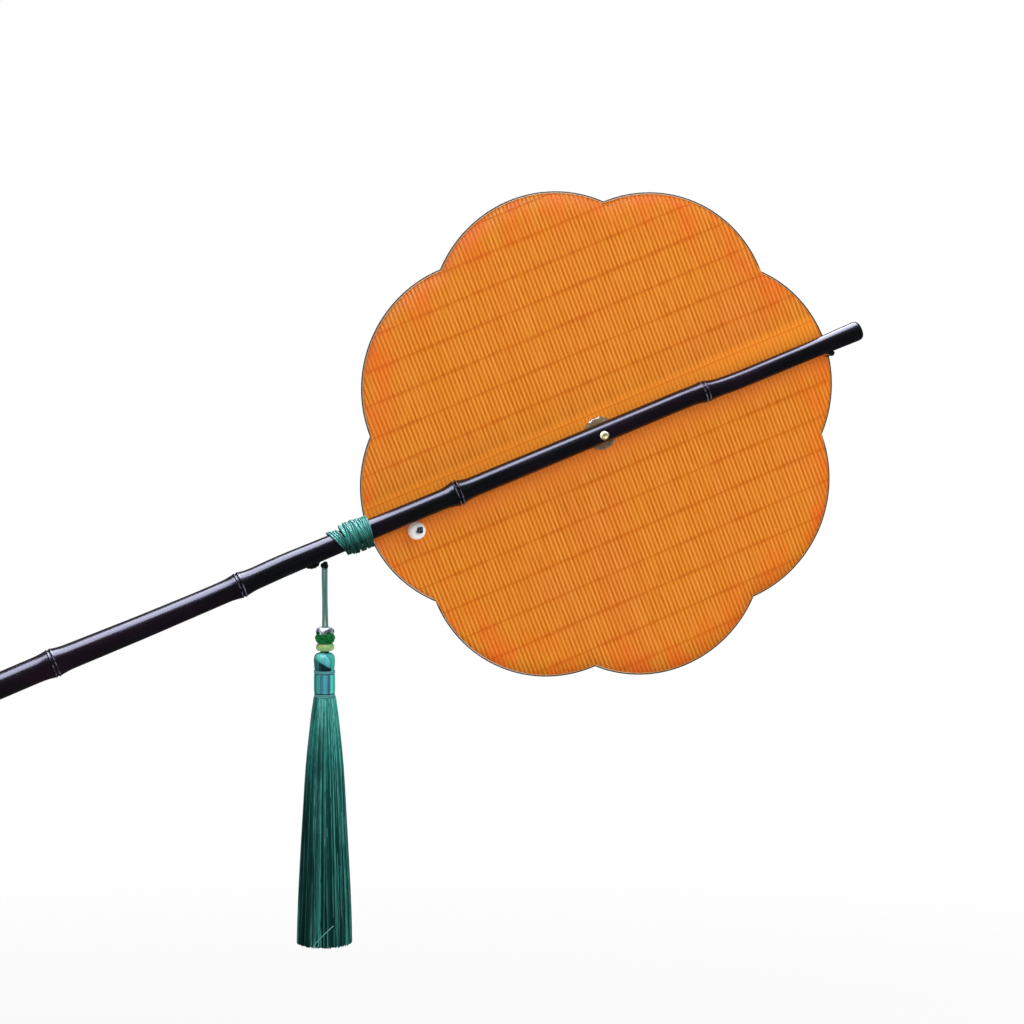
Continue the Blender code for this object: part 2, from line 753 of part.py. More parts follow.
def make_tassel(parent, cord, silk, silver, glass, pale, dark):
    """Everything that hangs from the hitch, in the plumb frame whose origin is the pivot."""
    mesh = turned_mesh("hitch_knot", ball_profile(hitch_diameter, steps=8), pin_sides)
    add_object("hitch_knot", mesh, parent, dark)

    top = -hitch_diameter / 2 - running_gap
    for name, side in (("strand_left", -1), ("strand_right", 1)):
        x = side * strand_spacing / 2
        path = [(x, 0, top - strand_length * i / strand_steps) for i in range(strand_steps + 1)]
        add_object(name, cord_curve(name, path, strand_diameter, 2), parent, cord)

    stack = cap_height / 4 + cap_wall + 3 * seat_gap + glass_bead_height + small_bead_height
    strand_end = top - strand_length
    knot_top = strand_end - seat_gap
    beads_top = knot_top + running_gap + stack
    make_beads(parent, silver, glass, pale, beads_top)

    mesh = turned_mesh("stop_knot", ball_profile(stop_knot_diameter, stop_knot_height), bead_sides)
    add_object("stop_knot", mesh, parent, dark, (0, 0, knot_top - stop_knot_height / 2))

    sink = stop_knot_height * head_sink_share
    mouth = stop_knot_diameter / 2 + seat_gap
    outer = head_diameter / 2
    neck = neck_diameter / 2
    head_top = knot_top - stop_knot_height - seat_gap + sink
    profile = [
        (0, -sink),
        (mouth, -sink),
        (mouth, -sink / 3),
        (outer * 2 / 3, 0),
        (outer * 11 / 12, -head_height / 6),
        (outer, -head_height / 2),
        (outer * 11 / 12, -head_height * 4 / 5),
        (neck, -head_height),
        (0, -head_height),
    ]
    mesh = turned_mesh("tassel_head", profile, bead_sides)
    add_object("tassel_head", mesh, parent, silk, (0, 0, head_top))

    neck_top = head_top - head_height - seat_gap
    half = binding_diameter / 2
    ring_track = neck + seat_gap + half
    ring = [(ring_track + half * math.cos(a), half * math.sin(a)) for a in [math.pi * i / 3 for i in range(6)]]
    upper_place = neck_top - half
    collar_top = neck_top - binding_diameter - seat_gap
    lower_place = collar_top - collar_height - seat_gap - half
    for name, place in (("upper_binding", upper_place), ("lower_binding", lower_place)):
        mesh = turned_mesh(name, ring, pin_sides, closed=True)
        add_object(name, mesh, parent, cord, (0, 0, place))

    bore = neck + seat_gap
    outer = collar_diameter / 2
    edge = (outer - bore) / 3
    low = -collar_height
    ring = [(bore, 0), (outer - edge, 0), (outer, -edge), (outer, low + edge), (outer - edge, low), (bore, low)]
    mesh = turned_mesh("tassel_collar", ring, pin_sides, closed=True)
    add_object("tassel_collar", mesh, parent, silk, (0, 0, collar_top))

    skirt_top = lower_place - half - seat_gap
    add_object("tassel_skirt", skirt_mesh(neck, neck_top - skirt_top), parent, silk, (0, 0, skirt_top))


def skirt_mesh(neck, neck_height):
    """The fluted skirt, from its hem up through its neck."""
    rows = [(neck_height, neck, 0), (0, neck, 0)]
    for along, wide in skirt_shares:
        rows.append((-skirt_length * along, skirt_diameter * wide / 2, flute_share * min(3 * along, 1)))
    rings = []
    for height, radius, depth in rows:
        ring = []
        for i in range(2 * skirt_flutes):
            angle = math.pi * i / skirt_flutes
            reach = radius * (1 - depth * (i % 2))
            ring.append((reach * math.cos(angle), reach * math.sin(angle), height))
        rings.append(ring)
    return loft_mesh("tassel_skirt", rings)


def make_fan():
    clear_scene()
    leaf, plumb = make_frames()
    black = finish_material("dark_bamboo", (0.075, 0.06, 0.085), 0.22)
    honey = finish_material("honey_bamboo", (0.86, 0.51, 0.18), 0.45)
    thread = finish_material("weft_thread", (0.78, 0.42, 0.13), 0.7)
    edging = finish_material("edging", (0.09, 0.13, 0.09), 0.6)
    brass = finish_material("brass", (0.83, 0.78, 0.64), 0.3, 1.0)
    steel = finish_material("steel", (0.7, 0.7, 0.68), 0.35, 1.0)
    clear = finish_material("clear_plastic", (0.62, 0.6, 0.56), 0.15, 0.0, 0.45)
    green_cord = finish_material("green_cord", (0.29, 0.56, 0.53), 0.55)
    dark_cord = finish_material("dark_cord", (0.1, 0.22, 0.18), 0.7)
    white = finish_material("white_bead", (0.94, 0.92, 0.93), 0.2)
    strand = finish_material("tassel_cord", (0.42, 0.56, 0.54), 0.6)
    silk = finish_material("silk", (0.2, 0.46, 0.45), 0.5)
    silver = finish_material("silver", (0.7, 0.78, 0.76), 0.3, 1.0)
    glass = finish_material("green_glass", (0.1, 0.44, 0.24), 0.08, 0.0, 0.85)
    pale = finish_material("pale_glass", (0.55, 0.68, 0.48), 0.12, 0.0, 0.75)
    culm = make_culm(leaf, black)
    slats = make_slats(leaf, honey)
    make_wefts(leaf, thread)
    make_rim(leaf, edging)
    make_pin(leaf, brass, clear, steel, culm, slats)
    make_lashing(leaf, green_cord, dark_cord)
    make_ties(leaf, dark_cord, culm, slats)
    make_leaf_bead(leaf, white, dark_cord, slats)
    make_hanger(leaf, dark_cord, culm)
    make_tassel(plumb, strand, silk, silver, glass, pale, dark_cord)


make_fan()
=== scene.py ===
from math import atan2, cos, exp, pi, radians, sin, sqrt

import bmesh
import bpy
import numpy as np
from mathutils import Matrix, Vector


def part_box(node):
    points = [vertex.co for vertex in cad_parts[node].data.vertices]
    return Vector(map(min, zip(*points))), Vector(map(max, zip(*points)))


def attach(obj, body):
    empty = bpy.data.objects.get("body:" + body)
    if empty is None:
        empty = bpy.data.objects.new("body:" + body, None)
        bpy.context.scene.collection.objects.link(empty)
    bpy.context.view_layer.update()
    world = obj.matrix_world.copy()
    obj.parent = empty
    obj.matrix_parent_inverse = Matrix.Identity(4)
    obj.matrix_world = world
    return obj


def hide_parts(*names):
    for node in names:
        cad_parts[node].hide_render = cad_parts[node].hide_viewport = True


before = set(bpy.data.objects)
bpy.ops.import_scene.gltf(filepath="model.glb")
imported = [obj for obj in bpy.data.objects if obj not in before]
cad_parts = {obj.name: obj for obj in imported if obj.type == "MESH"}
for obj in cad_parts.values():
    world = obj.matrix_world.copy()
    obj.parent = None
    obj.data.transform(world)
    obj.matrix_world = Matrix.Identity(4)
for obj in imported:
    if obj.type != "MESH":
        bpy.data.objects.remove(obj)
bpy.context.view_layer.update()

place = {
    "leafCentre": (0.321925, 0.013879, 0.121722),
    "handleTilt": radians(21.6),
    "tasselPivot": (0.180467, 0.003341, 0.0617),
}
leafTilt = (0, -place["handleTilt"], 0)
leafMatrix = Matrix.Translation(place["leafCentre"]) @ Matrix.Rotation(-place["handleTilt"], 4, "Y")
tasselMatrix = Matrix.Translation(place["tasselPivot"])
toFront = Matrix.Rotation(pi / 2, 4, "X")  # turns a lathe's axis to point out of the leaf's front
slatPitch = 0.00208
weaveRow = -0.1146  # the first row of lacing threads
weavePitch = 0.01575
fullTurn = 2 * pi


# Helpers for node trees

building = {}  # holds the tree that new nodes go into


# What a node gives out; a sum or a product of values makes the node for it
class Value:
    def __init__(self, socket):
        self.socket = socket

    def __add__(self, other):
        return calc("ADD", self, other)

    def __sub__(self, other):
        return calc("SUBTRACT", self, other)

    def __rsub__(self, other):
        return calc("SUBTRACT", other, self)

    def __mul__(self, other):
        return calc("MULTIPLY", self, other)

    def __truediv__(self, other):
        return calc("DIVIDE", self, other)

    def __abs__(self):
        return calc("ABSOLUTE", self)


def setInput(socket, value):
    if isinstance(value, Value):
        building["tree"].links.new(value.socket, socket)
    else:
        socket.default_value = value


def addNode(kind, inputs=None, give=0, **settings):
    node = building["tree"].nodes.new(kind)
    for key, value in settings.items():
        setattr(node, key, value)
    for key, value in (inputs or {}).items():
        setInput(node.inputs[key], value)
    return None if give is None else Value(node.outputs[give])


def calc(operation, *values):
    return addNode("ShaderNodeMath", dict(enumerate(values)), operation=operation)


def vector(x=0.0, y=0.0, z=0.0):
    return addNode("ShaderNodeCombineXYZ", {0: x, 1: y, 2: z})


def split(value):
    return [Value(socket) for socket in addNode("ShaderNodeSeparateXYZ", {0: value}).socket.node.outputs]


def spread(value, low, high, start=0.0, end=1.0):
    return addNode("ShaderNodeMapRange", {0: value, 1: low, 2: high, 3: start, 4: end})


def colour(shade):  # from red, green and blue out of 255, as seen on a screen
    channels = [c / 255 for c in shade]
    return (*[((c + 0.055) / 1.055) ** 2.4 if c > 0.04045 else c / 12.92 for c in channels], 1.0)


def mix(factor, *shades):
    first, second = [shade if isinstance(shade, Value) else colour(shade) for shade in shades]
    return addNode("ShaderNodeMix", {0: factor, 6: first, 7: second}, 2, data_type="RGBA")


def ramp(factor, *stops):
    made = addNode("ShaderNodeValToRGB", {0: factor})
    points = made.socket.node.color_ramp.elements
    while len(points) < len(stops):
        points.new(0.5)
    for point, (where, shade) in zip(points, stops):
        point.position = where
        point.color = colour(shade)
    return made


def attribute(name):
    return addNode("ShaderNodeAttribute", give="Fac", attribute_name=name)


def coordinates(scale=(1, 1, 1), onLeaf=False):
    spot = addNode("ShaderNodeTexCoord", give="Object")
    if onLeaf:
        inputs = {"Vector": spot, "Location": place["leafCentre"], "Rotation": leafTilt}
        spot = addNode("ShaderNodeMapping", inputs, vector_type="TEXTURE")
    return addNode("ShaderNodeMapping", {"Vector": spot, "Scale": scale})


def noise(spot, detail=2.0, rough=0.5):
    return addNode("ShaderNodeTexNoise", {"Vector": spot, "Scale": 1.0, "Detail": detail, "Roughness": rough})


def grain(scale, *more):
    return noise(coordinates(scale), *more)


def leafGrain(scale, *more):
    return noise(coordinates(scale, True), *more)


def bump(height, distance, strength=1.0):
    return addNode("ShaderNodeBump", {"Height": height, "Distance": distance, "Strength": strength})


def dress(made, **sockets):
    shader = made.node_tree.nodes["Principled BSDF"]
    for name, value in sockets.items():
        setInput(shader.inputs[name.replace("_", " ")], value)
    return made


def newFinish(name, specular=0.5, **sockets):
    made = bpy.data.materials.new(name)
    made.use_nodes = True
    building["tree"] = made.node_tree
    return dress(made, Specular_IOR_Level=specular, **sockets)


# Finishes

# Colours laid over each other, each where its cover is high
def layered(shade, *layers):
    for cover, over in layers:
        shade = mix(cover, shade, over)
    return shade


# A colour, with a roughness and a relief that follow the texture
def coated(made, shade, texture, rough, relief):
    return dress(made, Base_Color=shade, Roughness=spread(texture, *rough), Normal=bump(texture, *relief))


def makeBamboo():
    made = newFinish("honeyBamboo", 0.07)
    fibres = leafGrain((2600, 400, 60), 3.0, 0.6)
    flecks = leafGrain((700, 200, 95), 1.0)
    rosy = leafGrain((60, 60, 34))
    x, y, z = split(coordinates(onLeaf=True))
    across = calc("COSINE", x * (fullTurn / slatPitch))  # 1 between two slats, -1 on a slat's middle
    fromRow = abs(calc("FRACT", (z - (weaveRow - weavePitch / 2)) / weavePitch) - 0.5) * weavePitch
    rowPatches = spread(rosy, 0.38, 0.6, 0.1) * spread(flecks, 0.36, 0.58, 0.2, 0.95)
    front = spread(y, 0.0001, -0.0001)  # the leaf's front face, where painted light lightens the culm's shade
    # painted light: paler bands below and above the culm, less in the joints, where the culm's shade falls
    below = spread(z, -0.017, -0.008) * spread(z, 0.002, -0.002) * spread(across, 0, 1, 0.75, 0.5)
    above = spread(z, 0, 0.004) * spread(z, 0.0158, 0.012) * spread(across, -0.2, 0.9, 0.92, 0.5)
    shade = layered(
        ramp(leafGrain((18, 18, 11), 3.0, 0.55),
             (0.3, (224, 134, 22)), (0.5, (225, 133, 32)), (0.66, (224, 124, 38))),
        (spread(fibres, 0.35, 0.75, 0, 0.6), (210, 116, 20)),
        (spread(attribute("slatTone"), 0, 1, 0, 0.2), (244, 164, 66)),
        # a painted highlight along the middle of each slat
        (spread(across, -0.5, -1) * spread(fibres, 0.75, 0.35, 0.1, 0.75), (250, 168, 84)),
        (spread(across, 0.1, 1) * spread(flecks, 0.25, 0.6, 0.2), (200, 96, 8)),
        # darker marks in the joints along the lacing rows, broken up by noise
        (spread(fromRow, 0.0017, 0.0005) * rowPatches * spread(across, -0.9, 0.6, 0.5), (202, 98, 14)),
        (spread(flecks, 0.68, 0.78, 0, 0.4), (178, 84, 18)),
        (spread(calc("SQRT", x * x + z * z), 0.1, 0.124) * spread(rosy, 0.42, 0.6, 0, 0.6), (236, 98, 30)),
        # painted light over the culm's shade on the leaf
        (below * front, (255, 138, 54)),
        (above * front, (255, 154, 48)))
    return coated(made, shade, fibres, (0.3, 0.8, 0.55, 0.7), (0.00006, 0.5))


def makeLacquer():
    made = newFinish("blackLacquer", 0.22, Specular_Tint=colour((226, 226, 246)))
    fibres = leafGrain((22, 900, 900), 3.0, 0.6)
    shade = layered(
        ramp(leafGrain((16, 60, 60), 3.0), (0.34, (8, 12, 11)), (0.5, (12, 11, 17)), (0.7, (28, 12, 25))),
        (spread(fibres, 0.5, 0.75, 0, 0.5), (24, 18, 30)),
        # a painted highlight on the node ridges, broken up by noise
        (attribute("crest") * spread(leafGrain((500, 500, 500)), 0.4, 0.6, 0, 0.8), (132, 130, 150)))
    return coated(made, shade, fibres, (0.3, 0.8, 0.17, 0.32), (0.00006, 0.3))


# Twisted cord: painted shade between its plies and a painted highlight on their crests, from the crest value,
# with fine fibres over it
def makeCordFinish(name, groove, middle, crest, roughness, specular, shadeHeights=None):
    made = newFinish(name, specular)
    fibres = grain((1400, 1400, 1400), 3.0, 0.65)
    shade = layered(ramp(attribute("crest"), (0, groove), (0.55, middle), (1, crest)),
                    (spread(fibres, 0.35, 0.75, 0, 0.6), groove))
    if shadeHeights:  # painted shade: darker below, between two heights across the handle
        shade = mix(spread(split(coordinates(onLeaf=True))[2], *shadeHeights, 0.86, 0), shade, groove)
    return coated(made, shade, fibres, (0.3, 0.7, roughness - 0.08, roughness + 0.12), (0.00008, 0.5))


# Satin thread runs down the head and the collar, with a painted bluish sheen a little left of its middle,
# painted shade where the crest value is low and a painted highlight where it is high
def makeSatin():
    made = newFinish("satinThread", 0.14)
    threads = grain((1700, 1700, 70), 2.0, 0.6)
    aside = split(coordinates())[0] - (place["tasselPivot"][0] - 0.0012)
    level = (threads - 0.5) * 0.5 + attribute("crest")
    shade = mix(spread(abs(aside), 0.0008, 0.004), (76, 150, 178), (50, 164, 150))
    shade = mix(spread(level, 0.08, 0.5), (0, 38, 42), shade)
    shade = mix(spread(level, 0.6, 1, 0, 0.75), shade, (118, 236, 216))
    return coated(made, shade, threads, (0.3, 0.7, 0.32, 0.5), (0.0001, 0.4))


# Silk strands go from bright at the collar to deep at the hem, each strand a shade of its own, painted
# lighter towards the right and with patches of painted shade on the left and lower part
def makeSilk():
    made = newFinish("silkStrands", 0.08)
    along = attribute("along")
    fibres = grain((2200, 2200, 60), 2.0, 0.6)
    clumps = grain((260, 260, 9))
    aside = split(coordinates())[0] - place["tasselPivot"][0]
    deep = ramp(along, (0, (56, 158, 150)), (0.1, (34, 132, 124)), (0.28, (12, 82, 76)), (0.6, (8, 60, 55)),
                (1, (8, 56, 50)))
    pale = ramp(along, (0, (156, 240, 230)), (0.2, (112, 214, 202)), (0.6, (78, 170, 160)),
                (1, (80, 174, 158)))
    bright = spread(aside, 0.001, 0.009) * spread(along, 0.2, 0.7) * 0.22 + attribute("strandTone")
    lower = calc("MAXIMUM", spread(along, 0.3, 0.55, 0.25), spread(aside, -0.005, 0.001, 0.8, 0.2))
    shade = layered(
        mix(spread(bright, 0.62, 0.98), deep, pale),
        (lower * spread(aside, 0, 0.006, 1, 0.55) * spread(clumps, 0.46, 0.6, 0, 0.9), (4, 30, 30)),
        (spread(fibres, 0.45, 0.7, 0, 0.65), (4, 44, 44)))
    return coated(made, shade, fibres, (0.3, 0.7, 0.3, 0.48), (0.0001, 0.5))


def makeMetal(name, bright, dark, roughness):
    made = newFinish(name, Metallic=1.0)
    scratches = grain((900, 900, 900), 3.0, 0.7)
    hollow = addNode("ShaderNodeNewGeometry", give="Pointiness")
    shade = mix(spread(grain((240, 240, 240)), 0.5, 0.75, 0, 0.5), bright, dark)
    shade = mix(spread(hollow, 0.44, 0.5, 0.8, 0), shade, dark)
    return coated(made, shade, scratches, (0.3, 0.8, roughness - 0.06, roughness + 0.16), (0.00005, 0.4))


def makeGlass(name, deep, light, specular, **sockets):
    made = newFinish(name, specular, **sockets)
    shade = mix(spread(grain((420, 420, 420), 3.0, 0.6), 0.35, 0.7), deep, light)
    rough = spread(grain((3000, 3000, 3000), 1.0), 0.3, 0.9, 0.04, 0.16)
    return dress(made, Base_Color=shade, Roughness=rough)


# The colours of groove (painted shade), middle and crest (painted highlight), the roughness, the specular
# level, and the heights of the painted shade below
cordShades = {
    "lacingThread": ((190, 90, 14), (218, 116, 28), (236, 140, 48), 0.75, 0.03),
    "edgeBinding": ((34, 22, 12), (74, 56, 36), (120, 98, 70), 0.6, 0.08),
    "palePiping": ((188, 118, 56), (220, 154, 88), (232, 178, 118), 0.6, 0.08),
    "lashingCord": ((0, 22, 18), (34, 186, 172), (140, 250, 240), 0.4, 0.22, (0.001, 0.0082)),
    "darkCord": ((6, 18, 15), (14, 40, 33), (40, 84, 72), 0.45, 0.15),
    # a near-black copy of the dark cord for the pieces under the culm: painted shade
    "shadedCord": ((4, 8, 7), (12, 24, 20), (28, 50, 44), 0.5, 0.12),
    "navyCord": ((22, 30, 40), (46, 60, 76), (112, 128, 144), 0.25, 0.4),
    "hangingCord": ((22, 64, 58), (84, 138, 128), (158, 204, 194), 0.5, 0.1),
    "bindingThread": ((36, 104, 108), (98, 178, 180), (164, 226, 222), 0.4, 0.2),
}
finishes = {made.name: made for made in [
    makeBamboo(),
    makeLacquer(),
    *[makeCordFinish(name, *shades) for name, shades in cordShades.items()],
    makeSatin(),
    makeSilk(),
    makeMetal("paleBrass", (244, 238, 190), (186, 172, 112), 0.6),
    makeMetal("plainSteel", (196, 196, 190), (104, 100, 92), 0.34),
    makeMetal("oldSilver", (134, 140, 146), (20, 26, 32), 0.4),
    makeGlass("whitePorcelain", (255, 255, 255), (248, 248, 245), 0.3, Coat_Weight=0.4, Coat_Roughness=0.05),
    makeGlass("clearPlastic", (214, 222, 196), (150, 160, 140), 0.25, Transmission_Weight=0.85, IOR=1.4),
    makeGlass("greenGlass", (4, 84, 34), (24, 150, 74), 0.3, Transmission_Weight=0.2, IOR=1.52),
    makeGlass("paleGlass", (196, 212, 138), (96, 174, 112), 0.3, Transmission_Weight=0.12, IOR=1.5),
]}
print("finishes ready")


# Helpers for pieces

def addObject(name, data):
    made = bpy.data.objects.new(name, data)
    bpy.context.scene.collection.objects.link(made)
    return made


def seat(made, body, slot, *replaced):
    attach(made, body)
    if replaced:
        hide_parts(*replaced)
    return made


# The frame of a piece on the tassel, at a height and a little aside of its middle
def hung(height, aside=0.0):
    return tasselMatrix @ Matrix.Translation((aside, 0, height))


# 0 to 1 with a soft start and end
def eased(value):
    value = min(max(value, 0), 1)
    return value * value * (3 - 2 * value)


def polar(radius, angle, height=0.0):
    return Vector((radius * cos(angle), radius * sin(angle), height))


def roundAngles(count):
    return [fullTurn * i / count for i in range(count)]


# A ring of points round Z, with the radius and the height that outline gives at each angle
def ringOf(sides, outline):
    spots = [(angle, *outline(angle)) for angle in roundAngles(sides)]
    return [polar(radius, angle, height) for angle, radius, height in spots]


# A piece with its doubles merged and its faces outwards, flat where no angle for its sharp edges is given
def solid(name, points, faces, finish, matrix, sharpDegrees=None, crests=None):
    mesh = bpy.data.meshes.new(name)
    mesh.from_pydata(points, [], faces)
    if crests:
        mesh.attributes.new("crest", "FLOAT", "POINT").data.foreach_set("value", crests)
    work = bmesh.new()
    work.from_mesh(mesh)
    bmesh.ops.remove_doubles(work, verts=work.verts, dist=2e-6)
    bmesh.ops.recalc_face_normals(work, faces=work.faces)
    work.to_mesh(mesh)
    work.free()
    mesh.transform(matrix)
    if sharpDegrees:
        mesh.shade_smooth()
        mesh.set_sharp_from_angle(angle=radians(sharpDegrees))
    mesh.materials.append(finishes[finish])
    return addObject(name, mesh)


# Rings of points become one closed surface; where closed isn't set, its two ends are capped
def loft(name, rings, finish, matrix, closed=False, sharpDegrees=35, crests=None):
    sides, count = len(rings[0]), len(rings)
    faces = []
    for i in range(count if closed else count - 1):
        low, high = i * sides, (i + 1) % count * sides
        for j in range(sides):
            k = (j + 1) % sides
            faces.append((low + j, low + k, high + k, high + j))
    if not closed:
        faces.append(tuple(range(sides)))
        faces.append(tuple(range((count - 1) * sides, count * sides)))
    return solid(name, [p for ring in rings for p in ring], faces, finish, matrix, sharpDegrees, crests)


# A profile of (radius, height) turned round Z; it starts and ends on the axis, or is a closed ring
def turned(name, profile, finish, matrix=Matrix(), sides=48, closed=False, sharpDegrees=35, ripple=None):
    outline = ripple or (lambda radius, height, angle: (radius, height))
    rings = [ringOf(sides, lambda angle: outline(r, h, angle)) for r, h in profile]
    return loft(name, rings, finish, matrix, closed, sharpDegrees)


# Several made meshes become one piece
def joined(name, parts):
    work = bmesh.new()
    for part in parts:
        work.from_mesh(part.data)
    mesh = bpy.data.meshes.new(name)
    work.to_mesh(mesh)
    work.free()
    mesh.materials.append(parts[0].data.materials[0])
    for part in parts:
        bpy.data.objects.remove(part)
    mesh.shade_smooth()
    return addObject(name, mesh)


def ballProfile(diameter, steps):
    angles = [pi * i / steps for i in range(steps + 1)]
    return [(diameter / 2 * sin(a), diameter / 2 * cos(a)) for a in angles]


# A smooth curve through all the points, its own points about a step apart
def smoothPath(points, step):
    knots = [Vector(p) for p in points]
    knots = [2 * knots[0] - knots[1], *knots, 2 * knots[-1] - knots[-2]]
    path = []
    for i in range(1, len(knots) - 2):
        before, start, end, after = knots[i - 1:i + 3]
        parts = max(1, round((end - start).length / step))
        for j in range(parts):
            t = j / parts
            bend = 2 * before - 5 * start + 4 * end - after
            path.append(0.5 * (2 * start + (end - before) * t + bend * t**2
                               + (3 * start - before - 3 * end + after) * t**3))
    return [*path, knots[-2]]


# A node tree that makes a piece, with a named input for each of its sizes
def startTree(name, sizes):
    tree = bpy.data.node_groups.new(name, "GeometryNodeTree")
    tree.is_modifier = True
    tree.interface.new_socket("Geometry", in_out="OUTPUT", socket_type="NodeSocketGeometry")
    tree.interface.new_socket("Geometry", in_out="INPUT", socket_type="NodeSocketGeometry")
    kinds = {int: "Int", float: "Float", tuple: "Vector", str: "Material"}
    for key, value in sizes.items():
        tree.interface.new_socket(key, in_out="INPUT", socket_type="NodeSocket" + kinds[type(value)])
    building["tree"] = tree
    return {socket.name: Value(socket) for socket in tree.nodes.new("NodeGroupInput").outputs}


def geo(kind, inputs=None, give=0, **settings):
    return addNode("GeometryNode" + kind, inputs, give, **settings)


def moved(shape, spot):
    return geo("SetPosition", {0: shape, 2: spot})


def stored(shape, name, value, domain="POINT"):
    return geo("StoreNamedAttribute", {0: shape, 2: name, 3: value}, domain=domain)


def named(name):
    return geo("InputNamedAttribute", {0: name}, data_type="FLOAT")


def chance(seed):
    return addNode("FunctionNodeRandomValue", {"Seed": seed}, 1, data_type="FLOAT")


def section(sides, radius):
    return geo("CurvePrimitiveCircle", {0: sides, 4: radius})


def tube(line, outline, **more):
    return geo("CurveToMesh", {0: line, 1: outline, "Fill Caps": True} | more)


def endTree(shape, given):
    shape = geo("Transform", {0: shape, 1: given["origin"], 2: given["turn"]})
    shape = geo("SetShadeSmooth", {0: geo("RealizeInstances", {0: shape})})
    addNode("NodeGroupOutput", {0: geo("SetMaterial", {0: shape, 2: given["finish"]})}, None)
    return building["tree"]


# Runs a tree on a line of points and keeps the plain mesh that it makes
def grow(name, tree, sizes, path=((0, 0, 0),), closed=False):
    line = bpy.data.meshes.new(name + "Line")
    edges = [(i, i + 1) for i in range(len(path) - 1)] + ([(len(path) - 1, 0)] if closed else [])
    line.from_pydata([tuple(p) for p in path], edges, [])
    start = addObject(name + "Line", line)
    modifier = start.modifiers.new(tree.name, "NODES")
    modifier.node_group = tree
    given = sizes | {"finish": finishes[sizes["finish"]]}
    for socket in tree.interface.items_tree:
        if socket.in_out == "INPUT" and socket.name in given:
            modifier[socket.identifier] = given[socket.name]
    depsgraph = bpy.context.evaluated_depsgraph_get()
    mesh = bpy.data.meshes.new_from_object(start.evaluated_get(depsgraph), depsgraph=depsgraph)
    bpy.data.objects.remove(start)
    mesh.name = name
    return addObject(name, mesh)


print("helpers ready")


# Camera and light

viewing = {
    "leafPixel": (599.0, 435.2),
    "imageWidth": 1024,
    "lens": 126.56,
    "sensor": 36.0,
    "distance": 1.8,
    "yaw": radians(-14.56),
    "pitch": radians(5.16),
}
studio = {
    "worldLight": 0.78,
    "roomShine": 0.1,
    "ceilingShine": 0.45,
    "aim": Vector((0.22, 0.0, 0.06)),
    "softLamp": {"place": (0.9, -1.1, 1.2), "size": (1.2, 0.9), "turn": 0, "power": 11, "shade": (1, 1, 1)},
    "stripLamp": {"place": (0.12, 0.06, 0.95), "size": (1.5, 0.8), "turn": -24, "power": 128,
                  "shade": (0.84, 0.86, 1)},
    "floorHeight": -0.42,
    "floorReach": 1.6,
    "floorGlow": 0.2,
}


def makeCamera():
    yaw, pitch = viewing["yaw"], viewing["pitch"]
    back = Vector((sin(yaw) * cos(pitch), -cos(yaw) * cos(pitch), sin(pitch)))
    right = (-back).cross(Vector((0, 0, 1))).normalized()
    above = right.cross(-back)
    perPixel = viewing["sensor"] / viewing["lens"] * viewing["distance"] / viewing["imageWidth"]
    aside, rise = [perPixel * (p - viewing["imageWidth"] / 2) for p in viewing["leafPixel"]]
    leaf = Vector(place["leafCentre"])
    aim = leaf - right * aside + above * rise
    camera = addObject("camera", bpy.data.cameras.new("camera"))
    camera.data.lens = viewing["lens"]
    camera.data.sensor_width = viewing["sensor"]
    camera.location = leaf + back * viewing["distance"]
    camera.rotation_euler = (aim - camera.location).to_track_quat("-Z", "Y").to_euler()
    bpy.context.scene.camera = camera


def makeLamp(name):
    wanted = studio[name]
    lamp = addObject(name, bpy.data.lights.new(name, "AREA"))
    lamp.data.shape = "RECTANGLE"
    lamp.data.size, lamp.data.size_y = wanted["size"]
    lamp.data.energy = wanted["power"]
    lamp.data.color = wanted["shade"]
    lamp.location = wanted["place"]
    aimed = (studio["aim"] - lamp.location).to_track_quat("-Z", "Y").to_matrix()
    lamp.rotation_euler = (aimed @ Matrix.Rotation(radians(wanted["turn"]), 3, "Z")).to_euler()
    return lamp


# White to the camera and through glass, but a dim room in a reflection
def makeWorld():
    world = bpy.data.worlds.new("studio")
    bpy.context.scene.world = world
    world.use_nodes = True
    building["tree"] = world.node_tree
    kinds = ("Camera", "Transmission", "Glossy")
    seen, through, mirrored = [addNode("ShaderNodeLightPath", give=f"Is {kind} Ray") for kind in kinds]
    heading = split(addNode("ShaderNodeTexCoord", give="Generated"))
    room = spread(heading[2], 0.5, 0.8, studio["roomShine"], studio["ceilingShine"])
    strength = calc("MAXIMUM", calc("MAXIMUM", seen, through), mirrored * room)
    strength = calc("MAXIMUM", strength, (1.0 - mirrored) * studio["worldLight"])
    sky = world.node_tree.nodes["Background"]
    sky.inputs["Color"].default_value = (1, 1, 1, 1)
    setInput(sky.inputs["Strength"], strength)


def makeFloor():
    reach = studio["floorReach"]
    mesh = bpy.data.meshes.new("floor")
    mesh.from_pydata([(-reach, -reach, 0), (reach, -reach, 0), (reach, reach, 0), (-reach, reach, 0)], [],
                     [(0, 1, 2, 3)])
    floor = addObject("floor", mesh)
    floor.location = (place["leafCentre"][0] - 0.1, 0, studio["floorHeight"])
    made = newFinish("palePaper", 0.0, Roughness=0.8, Base_Color=(0.86, 0.86, 0.86, 1),
                     Emission_Color=(1, 1, 1, 1))
    x, y, z = split(coordinates())
    inside = spread(calc("SQRT", x * x + y * y), 0.5 * reach, reach, 1.0, 0.0)
    fromAbove = 1.0 - addNode("ShaderNodeNewGeometry", give="Backfacing")
    dress(made, Emission_Strength=addNode("ShaderNodeLightPath") * studio["floorGlow"],
          Normal=bump(grain((300, 300, 300)), 0.0002, 0.2), Alpha=inside * fromAbove)  # clear from below
    mesh.materials.append(made)
    floor.visible_glossy = False


